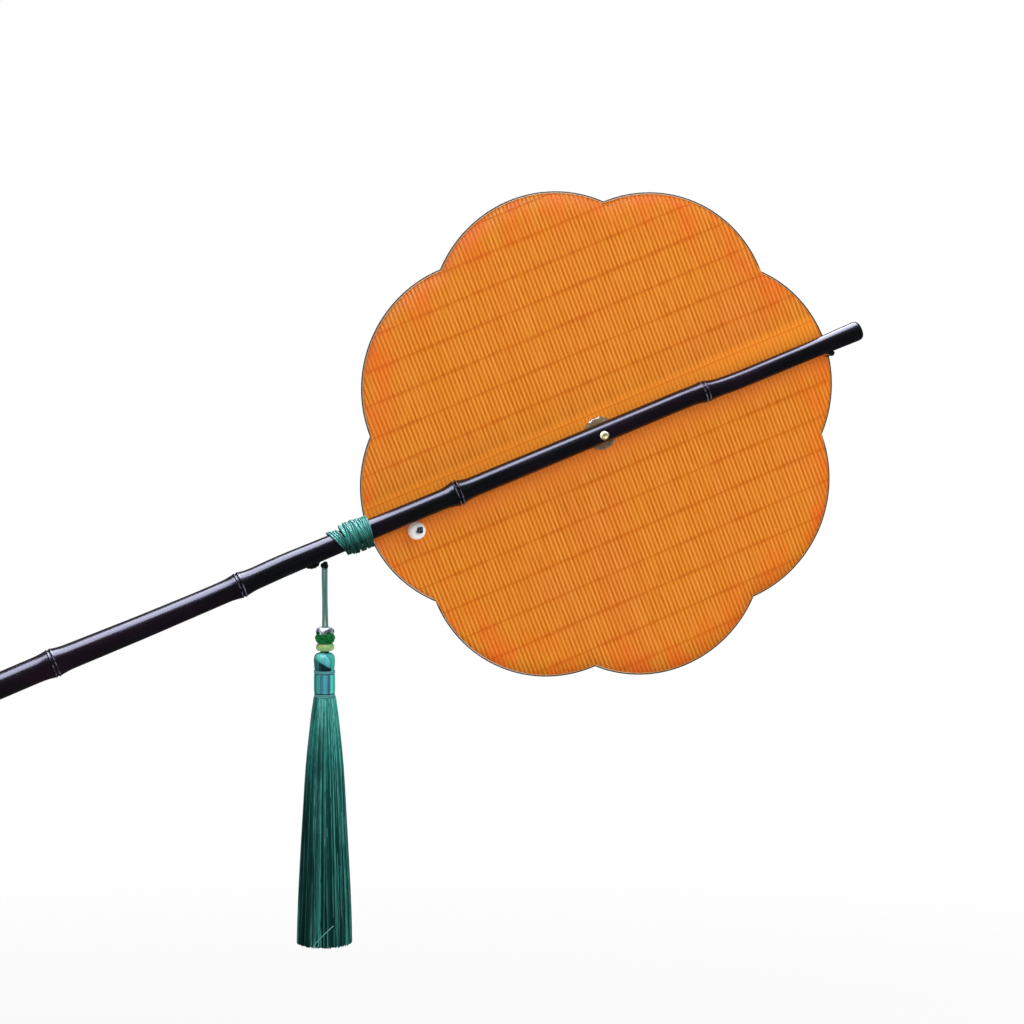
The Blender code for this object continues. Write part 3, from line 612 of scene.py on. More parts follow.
makeCamera()
makeWorld()
makeLamp("softLamp").visible_glossy = False
makeLamp("stripLamp").visible_diffuse = False  # it gives the gloss on the culm, and the soft lamp the light
makeFloor()
print("camera and light set")


# Twisted cord, for every cord and knot

# Every input of the tree, with any value of its kind
cordSizes = {"radius": 0.1, "plies": 3, "layLength": 0.1, "segment": 0.1, "grooveShare": 0.1,
             "origin": (0.0, 0.0, 0.0), "turn": (0.0, 0.0, 0.0), "finish": ""}


def cordTree():
    given = startTree("twistedCord", cordSizes)
    line = geo("MeshToCurve", {0: given["Geometry"]})
    line = geo("ResampleCurve", {0: line, "Length": given["segment"]}, mode="LENGTH")
    twist = geo("SplineParameter", give="Length") * fullTurn / given["layLength"]
    line = geo("SetCurveTilt", {0: line, 2: twist})
    # 1 on top of each ply and 0 between them, where the finishes paint highlight and shade
    crest = spread(calc("COSINE", geo("InputIndex") * (pi / 2)), -1.0, 1.0)
    outline = stored(section(given["plies"] * 4, given["radius"]), "crest", crest)
    shrink = spread(crest, 0.0, 1.0, 1.0 - given["grooveShare"], 1.0)
    spot = addNode("ShaderNodeVectorMath", {0: geo("InputPosition"), "Scale": shrink}, operation="SCALE")
    return endTree(tube(line, moved(outline, spot)), given)


twistedCord = cordTree()


# The lay, the steps along the cord and the depth of its grooves are shares of its diameter
def cordPiece(name, path, diameter, finish, plies=3, lay=2.6, fine=0.22, groove=0.22, closed=False):
    sizes = {"radius": diameter / 2, "plies": plies, "layLength": lay * diameter, "segment": fine * diameter,
             "grooveShare": groove, "finish": finish}
    return grow(name, twistedCord, sizes, path, closed)


# A trefoil of cord, with the cord's thickness as a share of the knot's width
def knotPiece(name, centre, width, finish, turn=(1.2, 0.3, 0.4), share=0.36, flat=1.3, fine=0.2, groove=0.16):
    matrix = Matrix.Translation(centre)
    for angle, axis in zip(turn, "XYZ"):
        matrix = matrix @ Matrix.Rotation(angle, 4, axis)
    path = []
    for t in roundAngles(96):
        x, y = sin(t) + 2 * sin(2 * t), cos(t) - 2 * cos(2 * t)
        path.append(matrix @ (Vector((x, y, -flat * sin(3 * t))) * (width - share * width) / 6))
    return cordPiece(name, path, share * width, finish, lay=2.2, fine=fine, groove=groove, closed=True)


# The tassel's two hanging cords

strands = {"top": -0.0012, "length": 0.0406, "diameter": 0.0016, "topSpacing": 0.0013, "spacing": 0.0017,
           "settled": 0.75, "wander": 0.00012, "steps": 16}


def strandPath(side):
    points = []
    for i in range(strands["steps"] + 1):
        share = i / strands["steps"]
        wider = (strands["spacing"] - strands["topSpacing"]) * eased(share / strands["settled"])
        apart = strands["topSpacing"] + wider
        wander = strands["wander"] * sin(7 * share + 2 * side)
        spot = Vector((side * apart / 2 + wander, wander * side, strands["top"] - strands["length"] * share))
        points.append(tasselMatrix @ spot)
    return points


strandPaths = {"strandLeft": strandPath(-1), "strandRight": strandPath(1)}
for name, node in (("strandLeft", "strand_left"), ("strandRight", "strand_right")):
    made = cordPiece(name, strandPaths[name], strands["diameter"], "hangingCord", fine=0.16)
    seat(made, "tassel", "tassel_cord", node)
print("hanging cords")


# The black culm handle, with its nodes

culm = {
    "diameter": 0.0125,
    "leafReach": 0.1253,
    "handleReach": 0.2685,
    "tip": 0.1442,
    "depth": -0.007844,
    "lean": 0.01754,
    "lowerShares": (  # the place along, the thickness and the bend, as shares
        (1.0, 1.03, 0.43), (0.885, 1.02, 0.43), (0.67, 1.01, 0.42), (0.6275, 1.01, 0.41), (0.45, 0.92, 0.325),
        (0.33, 0.875, 0.3), (0.263, 0.88, 0.305), (0.18, 0.89, 0.345), (0.04, 0.835, 0.305)),
    "upperShares": (
        (-0.86, 0.82, 0.27), (-0.63, 0.81, 0.235), (-0.08, 0.8, 0.165), (0.37, 0.8, 0.115),
        (0.455, 0.78, 0.06), (0.5, 0.735, -0.015), (0.6, 0.725, -0.075), (0.93, 0.72, -0.12)),
    "tipShares": (0.8, -0.14),
    "lowerNodes": ((0.885, 0.09), (0.6275, 0.085), (0.263, 0.085)),
    "upperNodes": ((-0.63, 0.145), (0.455, 0.075)),
    "nodeRows": ((-0.009, -0.0024, 0.0006), (-0.0024, 0.0024, 0.00012), (0.0024, 0.009, 0.0006)),
    "ridge": 0.0009,
    "sides": 56,
    "rowStep": 0.002,
    "gridStep": 0.0005,
    "soften": 0.004,
    "tipRound": 0.0024,
    "buttRound": 0.0012,
    "hollow": ((0.0011, 0), (0.0009, 0.4), (0.0002, 0.45), (0.0001, 0.62)),  # how far in, share of the radius
}


# The place along the culm at a share of the handle, from the leaf to the butt
def lowerPlace(share):
    return -culm["leafReach"] - culm["handleReach"] * share


def culmRows():
    rows = [(lowerPlace(s), t, b) for s, t, b in culm["lowerShares"]]
    rows += [(culm["leafReach"] * s, t, b) for s, t, b in culm["upperShares"]]
    rows = np.array([*rows, (culm["tip"], *culm["tipShares"])])
    grid = np.arange(rows[0, 0] - 0.03, culm["tip"] + 0.03, culm["gridStep"])
    reach = np.arange(-0.02, 0.0201, culm["gridStep"])
    kernel = np.exp(-(reach / culm["soften"])**2 / 2)
    kernel /= kernel.sum()
    thick, bend = [np.convolve(np.interp(grid, rows[:, 0], rows[:, k]), kernel, "same") for k in (1, 2)]
    return grid, culm["diameter"] * thick / 2, culm["diameter"] * bend


culmGrid, culmThick, culmBend = culmRows()
culmNodes = [(lowerPlace(s), culm["diameter"] * h) for s, h in culm["lowerNodes"]]
culmNodes += [(culm["leafReach"] * s, culm["diameter"] * h) for s, h in culm["upperNodes"]]


# A hump of height 1 at the middle
def bulgeShare(value, middle, width):
    return exp(-((value - middle) / width)**2)


# Along a node: a broad swelling, the scar of the fallen sheath, a groove, then the ridge above it
def nodeOutline(x):
    return (0.72 * bulgeShare(x, 0, 0.0042) + 0.24 * bulgeShare(x, -culm["ridge"], 0.0003)
            - 0.3 * bulgeShare(x, 0, 0.00036) + 0.28 * bulgeShare(x, culm["ridge"], 0.00042))


def culmRadius(x):
    radius = float(np.interp(x, culmGrid, culmThick))
    return radius + sum(height * nodeOutline(x - spot) for spot, height in culmNodes)


def culmCentre(x):
    return Vector((x, culm["depth"] + culm["lean"] * x, float(np.interp(x, culmGrid, culmBend))))


def onCulm(x, angle, radius):
    return culmCentre(x) + Vector((0, radius * sin(angle), radius * cos(angle)))


# Each row of the culm's surface: its place along, a share of the radius, and what is first cut off the radius
def culmStations():
    end = lowerPlace(1)
    stations = list(np.arange(end + culm["rowStep"], culm["tip"] - culm["tipRound"], culm["rowStep"]))
    reach = culm["nodeRows"][-1][1]
    for spot, height in culmNodes:
        stations = [x for x in stations if not -reach < x - spot < reach]
        for low, high, step in culm["nodeRows"]:
            stations += list(np.arange(spot + low, spot + high, step))
    hollow = [(end + x, share, 0) for x, share in culm["hollow"]]
    butt, tip = [], []
    for i in range(7):
        angle = pi / 2 * (6 - i) / 6
        cut = culm["buttRound"] * (1 - cos(angle))
        butt.append((end + culm["buttRound"] * (1 - sin(angle)), 1.0, cut))
    for i in range(12):
        angle = pi / 2 * (i + 1) / 12
        along = culm["tip"] - culm["tipRound"] * (1 - sin(angle)) - 0.0004 * (1 - i / 11)
        tip.append((along, 1.0, 0.8 * culm["tipRound"] * (1 - cos(angle))))
    tip += [(culm["tip"] + 0.0002, 0.3, 0.0), (culm["tip"] + 0.0003, 0.0, 0.0)]
    return hollow + butt + [(x, 1.0, 0.0) for x in sorted(stations)] + tip


def makeCulm():
    rings, ridgeHighlight = [], []
    for x, share, cut in culmStations():
        centre, radius = culmCentre(x), (culmRadius(x) - cut) * share
        # how near each ring lies to a node ridge, for the painted highlight there
        ridge = sum(bulgeShare(abs(x - spot), culm["ridge"], 0.00025) for spot, height in culmNodes)
        ridgeHighlight += [ridge * share] * culm["sides"]
        ring = []
        for angle in roundAngles(culm["sides"]):
            uneven = 1 + 0.006 * sin(2 * angle + 31 * x) + 0.004 * sin(3 * angle - 47 * x)
            ring.append(centre + Vector((0, radius * uneven * cos(angle), radius * uneven * sin(angle))))
        rings.append(ring)
    made = loft("culmHandle", rings, "blackLacquer", leafMatrix, sharpDegrees=50, crests=ridgeHighlight)
    seat(made, "fan", "dark_bamboo", "culm_handle")


makeCulm()
print("culm handle")


# The leaf: bamboo slats side by side, cut to eight lobes

slats = {
    "count": 120,
    "pitch": slatPitch,
    "thickness": 0.0009,
    "lobeRadius": 0.0624,
    "lobeOffset": 0.0629,
    "inset": 0.00015,
    "wander": 0.00022,
    "unevenDepth": 0.00012,
    "seed": 11,
    "origin": place["leafCentre"],
    "turn": leafTilt,
    "finish": "honeyBamboo",
}


# Half the leaf's width at a place along it: the widest of the three lobes of a quarter
def leafWidth(along, given):
    reach, radius, widest = abs(along), given["lobeRadius"], 0.0
    for degrees in (0, 45, 90):
        angle = radians(degrees)
        aside = given["lobeOffset"] * -cos(angle) + reach
        room = radius * radius - aside * aside
        wide = given["lobeOffset"] * sin(angle) + calc("SQRT", calc("MAXIMUM", room, 0.0))
        widest = calc("MAXIMUM", wide * calc("GREATER_THAN", room, 0.0), widest)
    return widest


def slatTree():
    given = startTree("bambooSlats", slats)
    start = vector((given["count"] - 1.0) * given["pitch"] * -0.5)
    step = vector(given["pitch"])
    row = geo("MeshLine", {"Count": given["count"], "Start Location": start, "Offset": step})
    rod = geo("MeshCylinder", {0: 10, 1: 22, 3: 1.0, 4: 2.0})
    half = vector(given["pitch"] * 0.6, given["thickness"] * 0.5, 1.0)
    spot = addNode("ShaderNodeVectorMath", {0: geo("InputPosition"), 1: half}, operation="MULTIPLY")
    many = geo("InstanceOnPoints", {0: row, "Instance": moved(rod, spot)})
    many = stored(many, "slatTone", chance(given["seed"]), "INSTANCE")
    many = geo("RealizeInstances", {0: many})
    tone = named("slatTone")
    x, y, z = split(geo("InputPosition"))
    across = (noise(vector(tone * 90.0, z * 2.2)) - 0.5) * given["wander"] + x
    lifted = (tone - 0.5) * given["unevenDepth"] + y
    tall = leafWidth(across, given) - given["inset"]
    return endTree(moved(many, vector(across, lifted, z * tall)), given)


seat(grow("leafSlats", slatTree(), slats), "fan", "honey_bamboo", "leaf_slats")
print("leaf slats")


# Twined threads lace the slats together, a pair to a row, crossing between every two slats

lacing = {
    "rows": 16,
    "firstRow": weaveRow,
    "rowPitch": weavePitch,
    "slatPitch": slats["pitch"],
    "lobeRadius": slats["lobeRadius"],
    "lobeOffset": slats["lobeOffset"],
    "swing": 0.00056,
    "cross": 0.00016,
    "threadRadius": 0.00016,
    "threadSides": 5,
    "inset": 0.0008,
    "wander": 0.0007,
    "origin": place["leafCentre"],
    "turn": leafTilt,
    "finish": "lacingThread",
}


def lacingTree():
    given = startTree("twinedLacing", lacing)
    rows = geo("MeshLine", {"Count": given["rows"], "Start Location": vector(z=given["firstRow"]),
                            "Offset": vector(z=given["rowPitch"])})
    slatsAside = slats["count"] // 2 + 1  # the threads are cut to the leaf's outline below
    half = given["slatPitch"] * float(slatsAside)
    line = geo("CurvePrimitiveLine", {"Start": vector(half * -1.0), "End": vector(half)})
    line = geo("ResampleCurve", {0: line, "Count": slatsAside * 2 * 4 + 1})
    line = geo("RealizeInstances", {0: geo("InstanceOnPoints", {0: rows, "Instance": line})})
    x, y, z = split(geo("InputPosition"))
    outside = calc("GREATER_THAN", abs(x), leafWidth(z, given) - given["inset"])
    line = geo("DeleteGeometry", {0: line, 1: outside}, domain="POINT")
    angle = x * pi / given["slatPitch"]
    drift = (noise(vector(x * 40.0, z * 300.0), 3.0, 0.7) - 0.5) * given["wander"]
    outline = section(given["threadSides"], given["threadRadius"])
    pair = geo("JoinGeometry")
    for side in (-1.0, 1.0):
        deep = calc("SINE", angle) * given["swing"] * side
        aside = calc("COSINE", angle) * given["cross"] * side
        thread = moved(line, vector(x, deep, z + drift + aside))
        setInput(pair.socket.node.inputs[0], tube(thread, outline))
    return endTree(stored(pair, "crest", noise(vector(x * 300.0, z * 300.0))), given)


threads = [f"weft_thread_{k:02d}" for k in range(1, lacing["rows"] + 1)]
seat(grow("twinedLacing", lacingTree(), lacing), "fan", "weft_thread", *threads)
print("twined lacing")


# The rim: a thin hoop bound all round with thread, and a pale line just inside it

rim = {"track": 0.06294, "offset": 0.0629, "lobes": 8, "steps": 40, "diameter": 0.0007, "wrapPitch": 0.00052}
piping = {"inset": 0.00062, "depth": 0.00046, "diameter": 0.00036, "wrapPitch": 0.0009}
# Every input of the wrapping's tree, with any value of its kind
wrapping = {"radius": 0.1, "wrapPitch": 0.1, "dip": 0.1, "sides": 8, "origin": (0.0, 0.0, 0.0),
            "turn": (0.0, 0.0, 0.0), "finish": ""}


def wrapTree():
    given = startTree("threadWrapping", wrapping)
    line = geo("MeshToCurve", {0: given["Geometry"]})
    line = geo("ResampleCurve", {0: line, "Length": given["wrapPitch"] / 2.0}, mode="LENGTH")
    # 1 on each turn and 0 between them, where the finishes paint highlight and shade
    crest = calc("MODULO", geo("InputIndex"), 2.0)
    thick = spread(crest, 0.0, 1.0, 1.0 - given["dip"], 1.0)
    made = tube(stored(line, "crest", crest), section(given["sides"], given["radius"]), Scale=thick)
    return endTree(made, given)


threadWrapping = wrapTree()


# The outline of the lobes at a distance from each lobe's centre
def lobePath(track, deep=0.0):
    half = pi / rim["lobes"]
    inner = rim["offset"] * sin(half)
    far = rim["offset"] * cos(half) + sqrt(track**2 - inner**2)
    turn = atan2(far * sin(half), far * cos(half) - rim["offset"])
    path = []
    for lobe in roundAngles(rim["lobes"]):
        for i in range(rim["steps"]):
            angle = lobe - turn + 2 * turn * i / rim["steps"]
            x = rim["offset"] * cos(lobe) + track * cos(angle)
            z = rim["offset"] * sin(lobe) + track * sin(angle)
            path.append(leafMatrix @ Vector((x, deep, z)))
    return path


def wrappedPiece(name, path, given, finish, sides, dip, *replaced):
    sizes = {"radius": given["diameter"] / 2, "wrapPitch": given["wrapPitch"], "dip": dip, "sides": sides,
             "finish": finish}
    seat(grow(name, threadWrapping, sizes, path, True), "fan", "edging", *replaced)


wrappedPiece("rimBinding", lobePath(rim["track"]), rim, "edgeBinding", 8, 0.12, "rim_hoop")
for side, name in ((-1, "pipingFront"), (1, "pipingBack")):
    path = lobePath(rim["track"] - piping["inset"], side * piping["depth"])
    wrappedPiece(name, path, piping, "palePiping", 5, 0.08)
print("rim")


# The pin through culm and leaf, its clear washer, and the washer and cap behind the leaf

pin = {
    "spot": (-0.0003, 0.0012), "length": 0.0154, "shank": 0.0009,
    "headDepth": -0.01318, "headHeight": 0.0011, "headRadius": 0.00225,
    "washerSpot": (0.0007, 0.001), "washerHole": 0.0022, "washerRadius": 0.0083, "ribs": 30,
    "ribHeight": 0.0002, "backWasherDepth": 0.00135, "capDepth": 0.00165,
}


# Places a turned shape at a spot on the leaf, with its axis to the front
def atPin(spot, depth):
    return leafMatrix @ Matrix.Translation((spot[0], depth, spot[1])) @ toFront


def makePin():
    head, tall = pin["headRadius"], pin["headHeight"]
    profile = [(0, -pin["length"]), (pin["shank"], -pin["length"]), (pin["shank"], 0), (head * 0.94, 0),
               (head, 0.00015), (head, tall * 0.45), (head * 0.93, tall * 0.78),
               (head * 0.8, tall * 0.96), (head * 0.68, tall), (head * 0.45, tall),
               (head * 0.36, tall * 0.9), (head * 0.25, tall * 0.84), (0, tall * 0.82)]
    matrix = atPin(pin["spot"], pin["headDepth"])
    seat(turned("centrePin", profile, "paleBrass", matrix), "fan", "brass", "centre_pin")


def makeWashers():
    low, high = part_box("clear_washer")
    thick, hole, outer = high.y - low.y, pin["washerHole"], pin["washerRadius"]
    ring = [(hole, thick), (0.0034, thick), (0.0038, thick * 0.86), (0.0066, thick * 0.8),
            (0.0070, thick * 0.95), (0.0079, thick * 0.92), (outer, thick * 0.7), (outer, 0.0002),
            (outer - 0.0002, 0), (hole, 0)]

    def ribbed(radius, height, angle):
        if 0.0037 < radius < 0.0069 and height > thick / 2:
            height += pin["ribHeight"] * (1 if cos(pin["ribs"] * angle) > 0 else -1)
        return radius, height

    matrix = atPin(pin["washerSpot"], high.y - place["leafCentre"][1])
    made = turned("clearWasher", ring, "clearPlastic", matrix, 4 * pin["ribs"], True, 30, ribbed)
    seat(made, "fan", "clear_plastic", "clear_washer")
    ring = [(0.0012, 0), (0.0038, 0), (0.004, 0.0002), (0.004, 0.0004), (0.0038, 0.0006), (0.0012, 0.0006)]
    matrix = atPin(pin["spot"], pin["backWasherDepth"])
    made = turned("backWasher", ring, "plainSteel", matrix, closed=True)
    seat(made, "fan", "steel", "back_washer")


def makePinCap():
    profile = [(0, 0), (0.0021, 0), (0.0021, -0.0004), (0.0019, -0.0008), (0.0014, -0.0011),
               (0.0009, -0.00125), (0.0006, -0.0012), (0, -0.00105)]
    matrix = atPin(pin["spot"], pin["capDepth"])
    seat(turned("pinCap", profile, "paleBrass", matrix, 40), "fan", "brass", "pin_cap")


makePin()
makeWashers()
makePinCap()
print("pin and washers")


# The cord lashing at the leaf's lower edge

lashing = {
    "cord": 0.0011, "start": -0.1460, "end": -0.1262, "startAngle": radians(20), "steps": 36, "knot": 0.0021,
    "looseTurns": 4, "loosePitch": 0.0013, "looseSlant": 0.0022,
    "tightStart": -0.1400, "tightTurns": 11.5, "tightSlant": -0.0012, "bulk": 0.00706,
    "overTurns": 8.4, "overSlant": 0.0012, "overBulk": 0.00792, "overAngle": radians(200),
}


# Loose turns round the culm, then tight ones
def lashingPoint(turns):
    angle = lashing["startAngle"] - fullTurn * turns
    loose, slack = lashing["looseTurns"], lashing["looseSlant"]
    settled = eased((turns - loose + 0.6) / 0.8)
    slant = slack + (lashing["tightSlant"] - slack) * settled
    first = lashing["start"] + slack + lashing["loosePitch"] * min(turns, loose)
    share = min(max((turns - loose) / lashing["tightTurns"], 0), 1)
    packed = lashing["tightStart"] + (lashing["end"] - lashing["tightStart"] - 0.0006) * share
    x = first + (packed - first) * settled - slant * cos(angle) + 0.0001 * sin(5.3 * turns)
    inner = culmRadius(x) + 0.55 * lashing["cord"]
    return onCulm(x, angle, inner + (lashing["bulk"] - inner) * settled + 0.00012 * sin(7.1 * turns))


# A second layer over the tight turns, its turns pulled aside by uneven amounts
def overPoint(turns):
    angle = lashing["overAngle"] - fullTurn * turns
    low, high = lashing["tightStart"] + 0.0008, lashing["end"] - 0.0032
    back = 0.5 - 0.5 * cos(fullTurn * turns / lashing["overTurns"])
    x = low + (high - low) * back - lashing["overSlant"] * cos(angle + 0.5 * sin(1.7 * turns))
    rounded = 1 - 0.07 * (2 * back - 1)**4
    return onCulm(x, angle, lashing["overBulk"] * rounded + 0.00022 * sin(6.3 * turns + 1))


def makeLayer(name, point, turns, node):
    count = int(turns * lashing["steps"])
    path = [leafMatrix @ point(turns * i / count) for i in range(count + 1)]
    seat(cordPiece(name, path, lashing["cord"], "lashingCord"), "fan", "green_cord", node)
    return path


def makeLashing():
    turns = lashing["looseTurns"] + lashing["tightTurns"]
    path = makeLayer("lowerLashing", lashingPoint, turns, "lower_lashing")
    makeLayer("lashingOver", overPoint, lashing["overTurns"], "lashing_core")
    for name, end, before, node in (("lashingStartKnot", path[0], path[3], "lashing_start_knot"),
                                    ("lashingEndKnot", path[-1], path[-4], "lashing_end_knot")):
        centre = end + (end - before).normalized() * lashing["knot"] * 0.45
        seat(knotPiece(name, centre, lashing["knot"] * 1.2, "darkCord"), "fan", "dark_cord", node)


makeLashing()
print("lashing")


# Thin ties round the rim at the handle's two crossings

ties = {"thread": 0.0007, "knot": 0.00442, "knotAside": -0.0016, "knotRise": 0.003, "steps": 40}


def makeTie(name, node):
    low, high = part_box(node)
    middle = leafMatrix.inverted() @ ((low + high) / 2)
    size = (high - low) / 2
    tilt = place["handleTilt"]
    along = (size.x - ties["thread"] / 2 * (cos(tilt) + sin(tilt)) * 0.75) / cos(tilt)
    deep = size.y - ties["thread"] / 2
    path = []
    for angle in roundAngles(ties["steps"]):
        path.append(leafMatrix @ (middle + Vector((along * cos(angle), deep * sin(angle), 0))))
    made = cordPiece(name, path, ties["thread"], "darkCord", 2, 2.4, 0.3, 0.2, True)
    seat(made, "fan", "dark_cord", node)


def makeTieKnot():
    low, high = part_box("upper_tie_knot")
    centre = ((low.x + high.x) / 2 + ties["knotAside"], (low.y + high.y) / 2, low.z + ties["knotRise"])
    made = knotPiece("upperTieKnot", centre, ties["knot"], "shadedCord", (1.35, 0.2, 0.5), 0.38)
    seat(made, "fan", "dark_cord", "upper_tie_knot")


makeTie("lowerTie", "lower_tie")
makeTie("upperTie", "upper_tie")
makeTieKnot()
print("ties")


# The white bead on the leaf and the dark stopper knot at its middle

leafBead = {"height": 0.0066, "radius": 0.0045, "face": 0.00155, "bore": 0.00075, "stopper": 0.003808,
            "stopperCord": 0.0017, "offset": (0.0011, 0.0005), "shank": 0.00045, "backKnot": 0.0022}


def makeLeafBead():
    low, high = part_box("leaf_bead")
    matrix = Matrix.Translation((low + high) / 2) @ Matrix.Rotation(-place["handleTilt"], 4, "Y") @ toFront
    half, face, shank = leafBead["height"] / 2, leafBead["face"], leafBead["shank"]
    bulge = []
    for i in range(25):
        angle = pi * i / 24
        bulge.append((face + (leafBead["radius"] - face) * sin(angle) ** 0.8, half * cos(angle)))
    profile = [(leafBead["bore"], half * 0.9), (face * 0.75, half * 0.985), *bulge, (leafBead["bore"], -half)]
    made = turned("leafBead", profile, "whitePorcelain", matrix, 56, True, 60)
    seat(made, "white_bead", "white_bead", "leaf_bead")

    middle = matrix @ Vector((*leafBead["offset"], half + leafBead["stopperCord"] - 0.0002))
    wide = leafBead["stopper"]
    share = leafBead["stopperCord"] / wide
    front = knotPiece("beadStopper", middle, wide, "navyCord", (1.5, 0.5, 0.2), share, 1.2, 0.16, 0.14)
    behind = -half - 0.0015 - leafBead["backKnot"] / 2
    back = [(r, h + behind) for r, h in ballProfile(leafBead["backKnot"], 10) if h < 0.0008]
    profile = [(0, half * 0.6), (shank, half * 0.6), (shank, behind + 0.001), *back]
    rest = turned("beadShank", profile, "navyCord", matrix, 24, sharpDegrees=60)
    seat(joined("beadThread", [front, rest]), "fan", "dark_cord", "bead_thread")


makeLeafBead()
print("leaf bead")


# The cord that comes out of the culm, and the dark knot that the tassel swings from

hanger = {
    "station": -0.15362, "cord": 0.0014, "stopper": 0.0034, "hitch": 0.0043, "loop": 0.0022,
    "loopPoints": (  # how far from the cord's hole along the culm, and how far below the culm
        (-0.0086, -0.0008), (-0.0072, 0.0003), (-0.0058, 0.0008), (-0.0044, 0.0009), (-0.0032, 0.0005),
        (-0.0022, -0.0006)),
}


# The point under the culm's middle by a share of its radius, and some more
def belowCulm(x, below, share=1.0):
    return leafMatrix @ (culmCentre(x) - Vector((0, 0, culmRadius(x) * share + below)))


def makeHanger():
    station = hanger["station"]
    path = [belowCulm(station, 0, i / 12) for i in range(13)]
    seat(cordPiece("hangerCord", path, hanger["cord"], "darkCord"), "fan", "dark_cord", "hanger_cord")
    seat(knotPiece("hangerStopper", path[0], hanger["stopper"], "darkCord"), "fan", "dark_cord")
    path = smoothPath([belowCulm(station + aside, below) for aside, below in hanger["loopPoints"]], 0.0002)
    seat(cordPiece("hangerLoop", path, hanger["loop"], "shadedCord", lay=2.2), "fan", "dark_cord")
    turn = (1.5, 0.1, 0.6)
    made = knotPiece("hitchKnot", place["tasselPivot"], hanger["hitch"], "shadedCord", turn, 0.46, 1.2)
    seat(made, "hitch", "dark_cord", "hitch_knot")


makeHanger()
print("hanger and hitch")


# The silver cap, the cut glass beads and the knot that stops them

beads = {
    "capTop": -0.0306, "capHeight": 0.0026, "capRadius": 0.0045, "capNeck": 0.0023, "petals": 6,
    "petalDrop": 0.0013, "wall": 0.0003, "wire": 0.0003, "grain": 0.0004,
    "bore": 0.0020, "sides": 9,
    "knotWidth": 0.0050, "knotHeight": -0.0431,
}
# Each row of a cut bead: shares of its radius and of half its height, and half steps of turn
greenCut = {"top": -0.0317, "height": 0.0074, "radius": 0.00515, "rows": (
    (0, 1, 0), (0.52, 1, 0), (0.84, 0.42, 1), (1, -0.12, 0), (0.86, -0.62, 1), (0.6, -1, 0), (0, -1, 0))}
paleCut = {"top": -0.0388, "height": 0.0033, "radius": 0.0046, "rows": (
    (0, 1, 0), (0.84, 1, 0), (1, 0.4, 1), (0.99, -0.45, 0), (0.82, -1, 1), (0, -1, 1))}


# Rows joined by triangles into a cut bead with a bore
def cutBead(name, cut, finish, slot, node):
    half, sides, rows = cut["height"] / 2, beads["sides"], cut["rows"]
    points, faces = [], []
    for i, (wide, tall, halves) in enumerate(rows):
        radius = max(cut["radius"] * wide, beads["bore"])
        points += [polar(radius, fullTurn * (j + halves / 2) / sides, half * tall) for j in range(sides)]
        low, high = i * sides, (i + 1) % len(rows) * sides
        forward = rows[(i + 1) % len(rows)][2] >= halves
        for j in range(sides):
            k = (j + 1) % sides
            if forward:
                faces += [(low + j, low + k, high + j), (low + k, high + k, high + j)]
            else:
                faces += [(low + j, low + k, high + k), (low + j, high + k, high + j)]
    matrix = hung(cut["top"] - half)
    seat(solid(name, points, faces, finish, matrix), "tassel_beads", slot, node)


def capOutline(share, angle, inside=0.0):
    lobes = 0.5 + 0.5 * cos(beads["petals"] * angle)
    radius = beads["capNeck"] + (beads["capRadius"] - beads["capNeck"]) * sin(pi / 2 * share) ** 0.8
    radius *= 1 - 0.12 * (1 - lobes) * share
    height = -beads["capHeight"] * (share ** 1.4) - beads["petalDrop"] * (lobes - 0.75) * share**2
    return radius - inside, height - 0.3 * inside


def makeCap():
    steps = 12
    rows = [(i / steps, 0.0) for i in range(steps + 1)]
    rows += [(share, beads["wall"]) for share, inside in rows[::-1]]
    rings = [ringOf(96, lambda angle: capOutline(share, angle, inside)) for share, inside in rows]
    matrix = hung(beads["capTop"])
    made = loft("beadCap", rings, "oldSilver", matrix, True, 50)
    seat(made, "tassel_beads", "silver", "bead_cap")

    def onCap(share, angle, off=0.0):
        radius, height = capOutline(share, angle)
        return matrix @ polar(radius + off, angle, height + 0.5 * off)

    hoops = ((1.0, 72), (0.03, 48))
    wires = [[onCap(share, angle) for angle in roundAngles(count)] for share, count in hoops]
    half = pi / beads["petals"]
    for spot in roundAngles(beads["petals"]):
        wires.append([onCap(0.56 + 0.32 * cos(t), spot + 0.62 * half * sin(t), 0.0001)
                      for t in roundAngles(28)])
    parts = []
    for i, path in enumerate(wires):
        parts.append(cordPiece(f"capWire{i}", path, beads["wire"], "oldSilver", 2, 2.2, 0.5, 0.25, True))
    for k in range(2 * beads["petals"]):
        spot = Matrix.Translation(onCap(0.72 if k % 2 else 0.34, half * (k + 0.5), 0.00012))
        parts.append(turned(f"capGrain{k}", ballProfile(beads["grain"], 6), "oldSilver", spot, 8))
    seat(joined("capFiligree", parts), "tassel_beads", "silver")


def makeStopKnot():
    middle = hung(beads["knotHeight"]).translation
    made = knotPiece("stopKnot", middle, beads["knotWidth"], "darkCord", (0.1, 0.1, 0.3), 0.34, 0.9)
    return seat(made, "tassel", "dark_cord", "stop_knot")


makeCap()
cutBead("glassBead", greenCut, "greenGlass", "green_glass", "glass_bead")
cutBead("smallBead", paleCut, "paleGlass", "pale_glass", "small_bead")
stopKnot = makeStopKnot()
print("cap and beads")


# The tassel's head, folded over from silk thread, and its bound collar

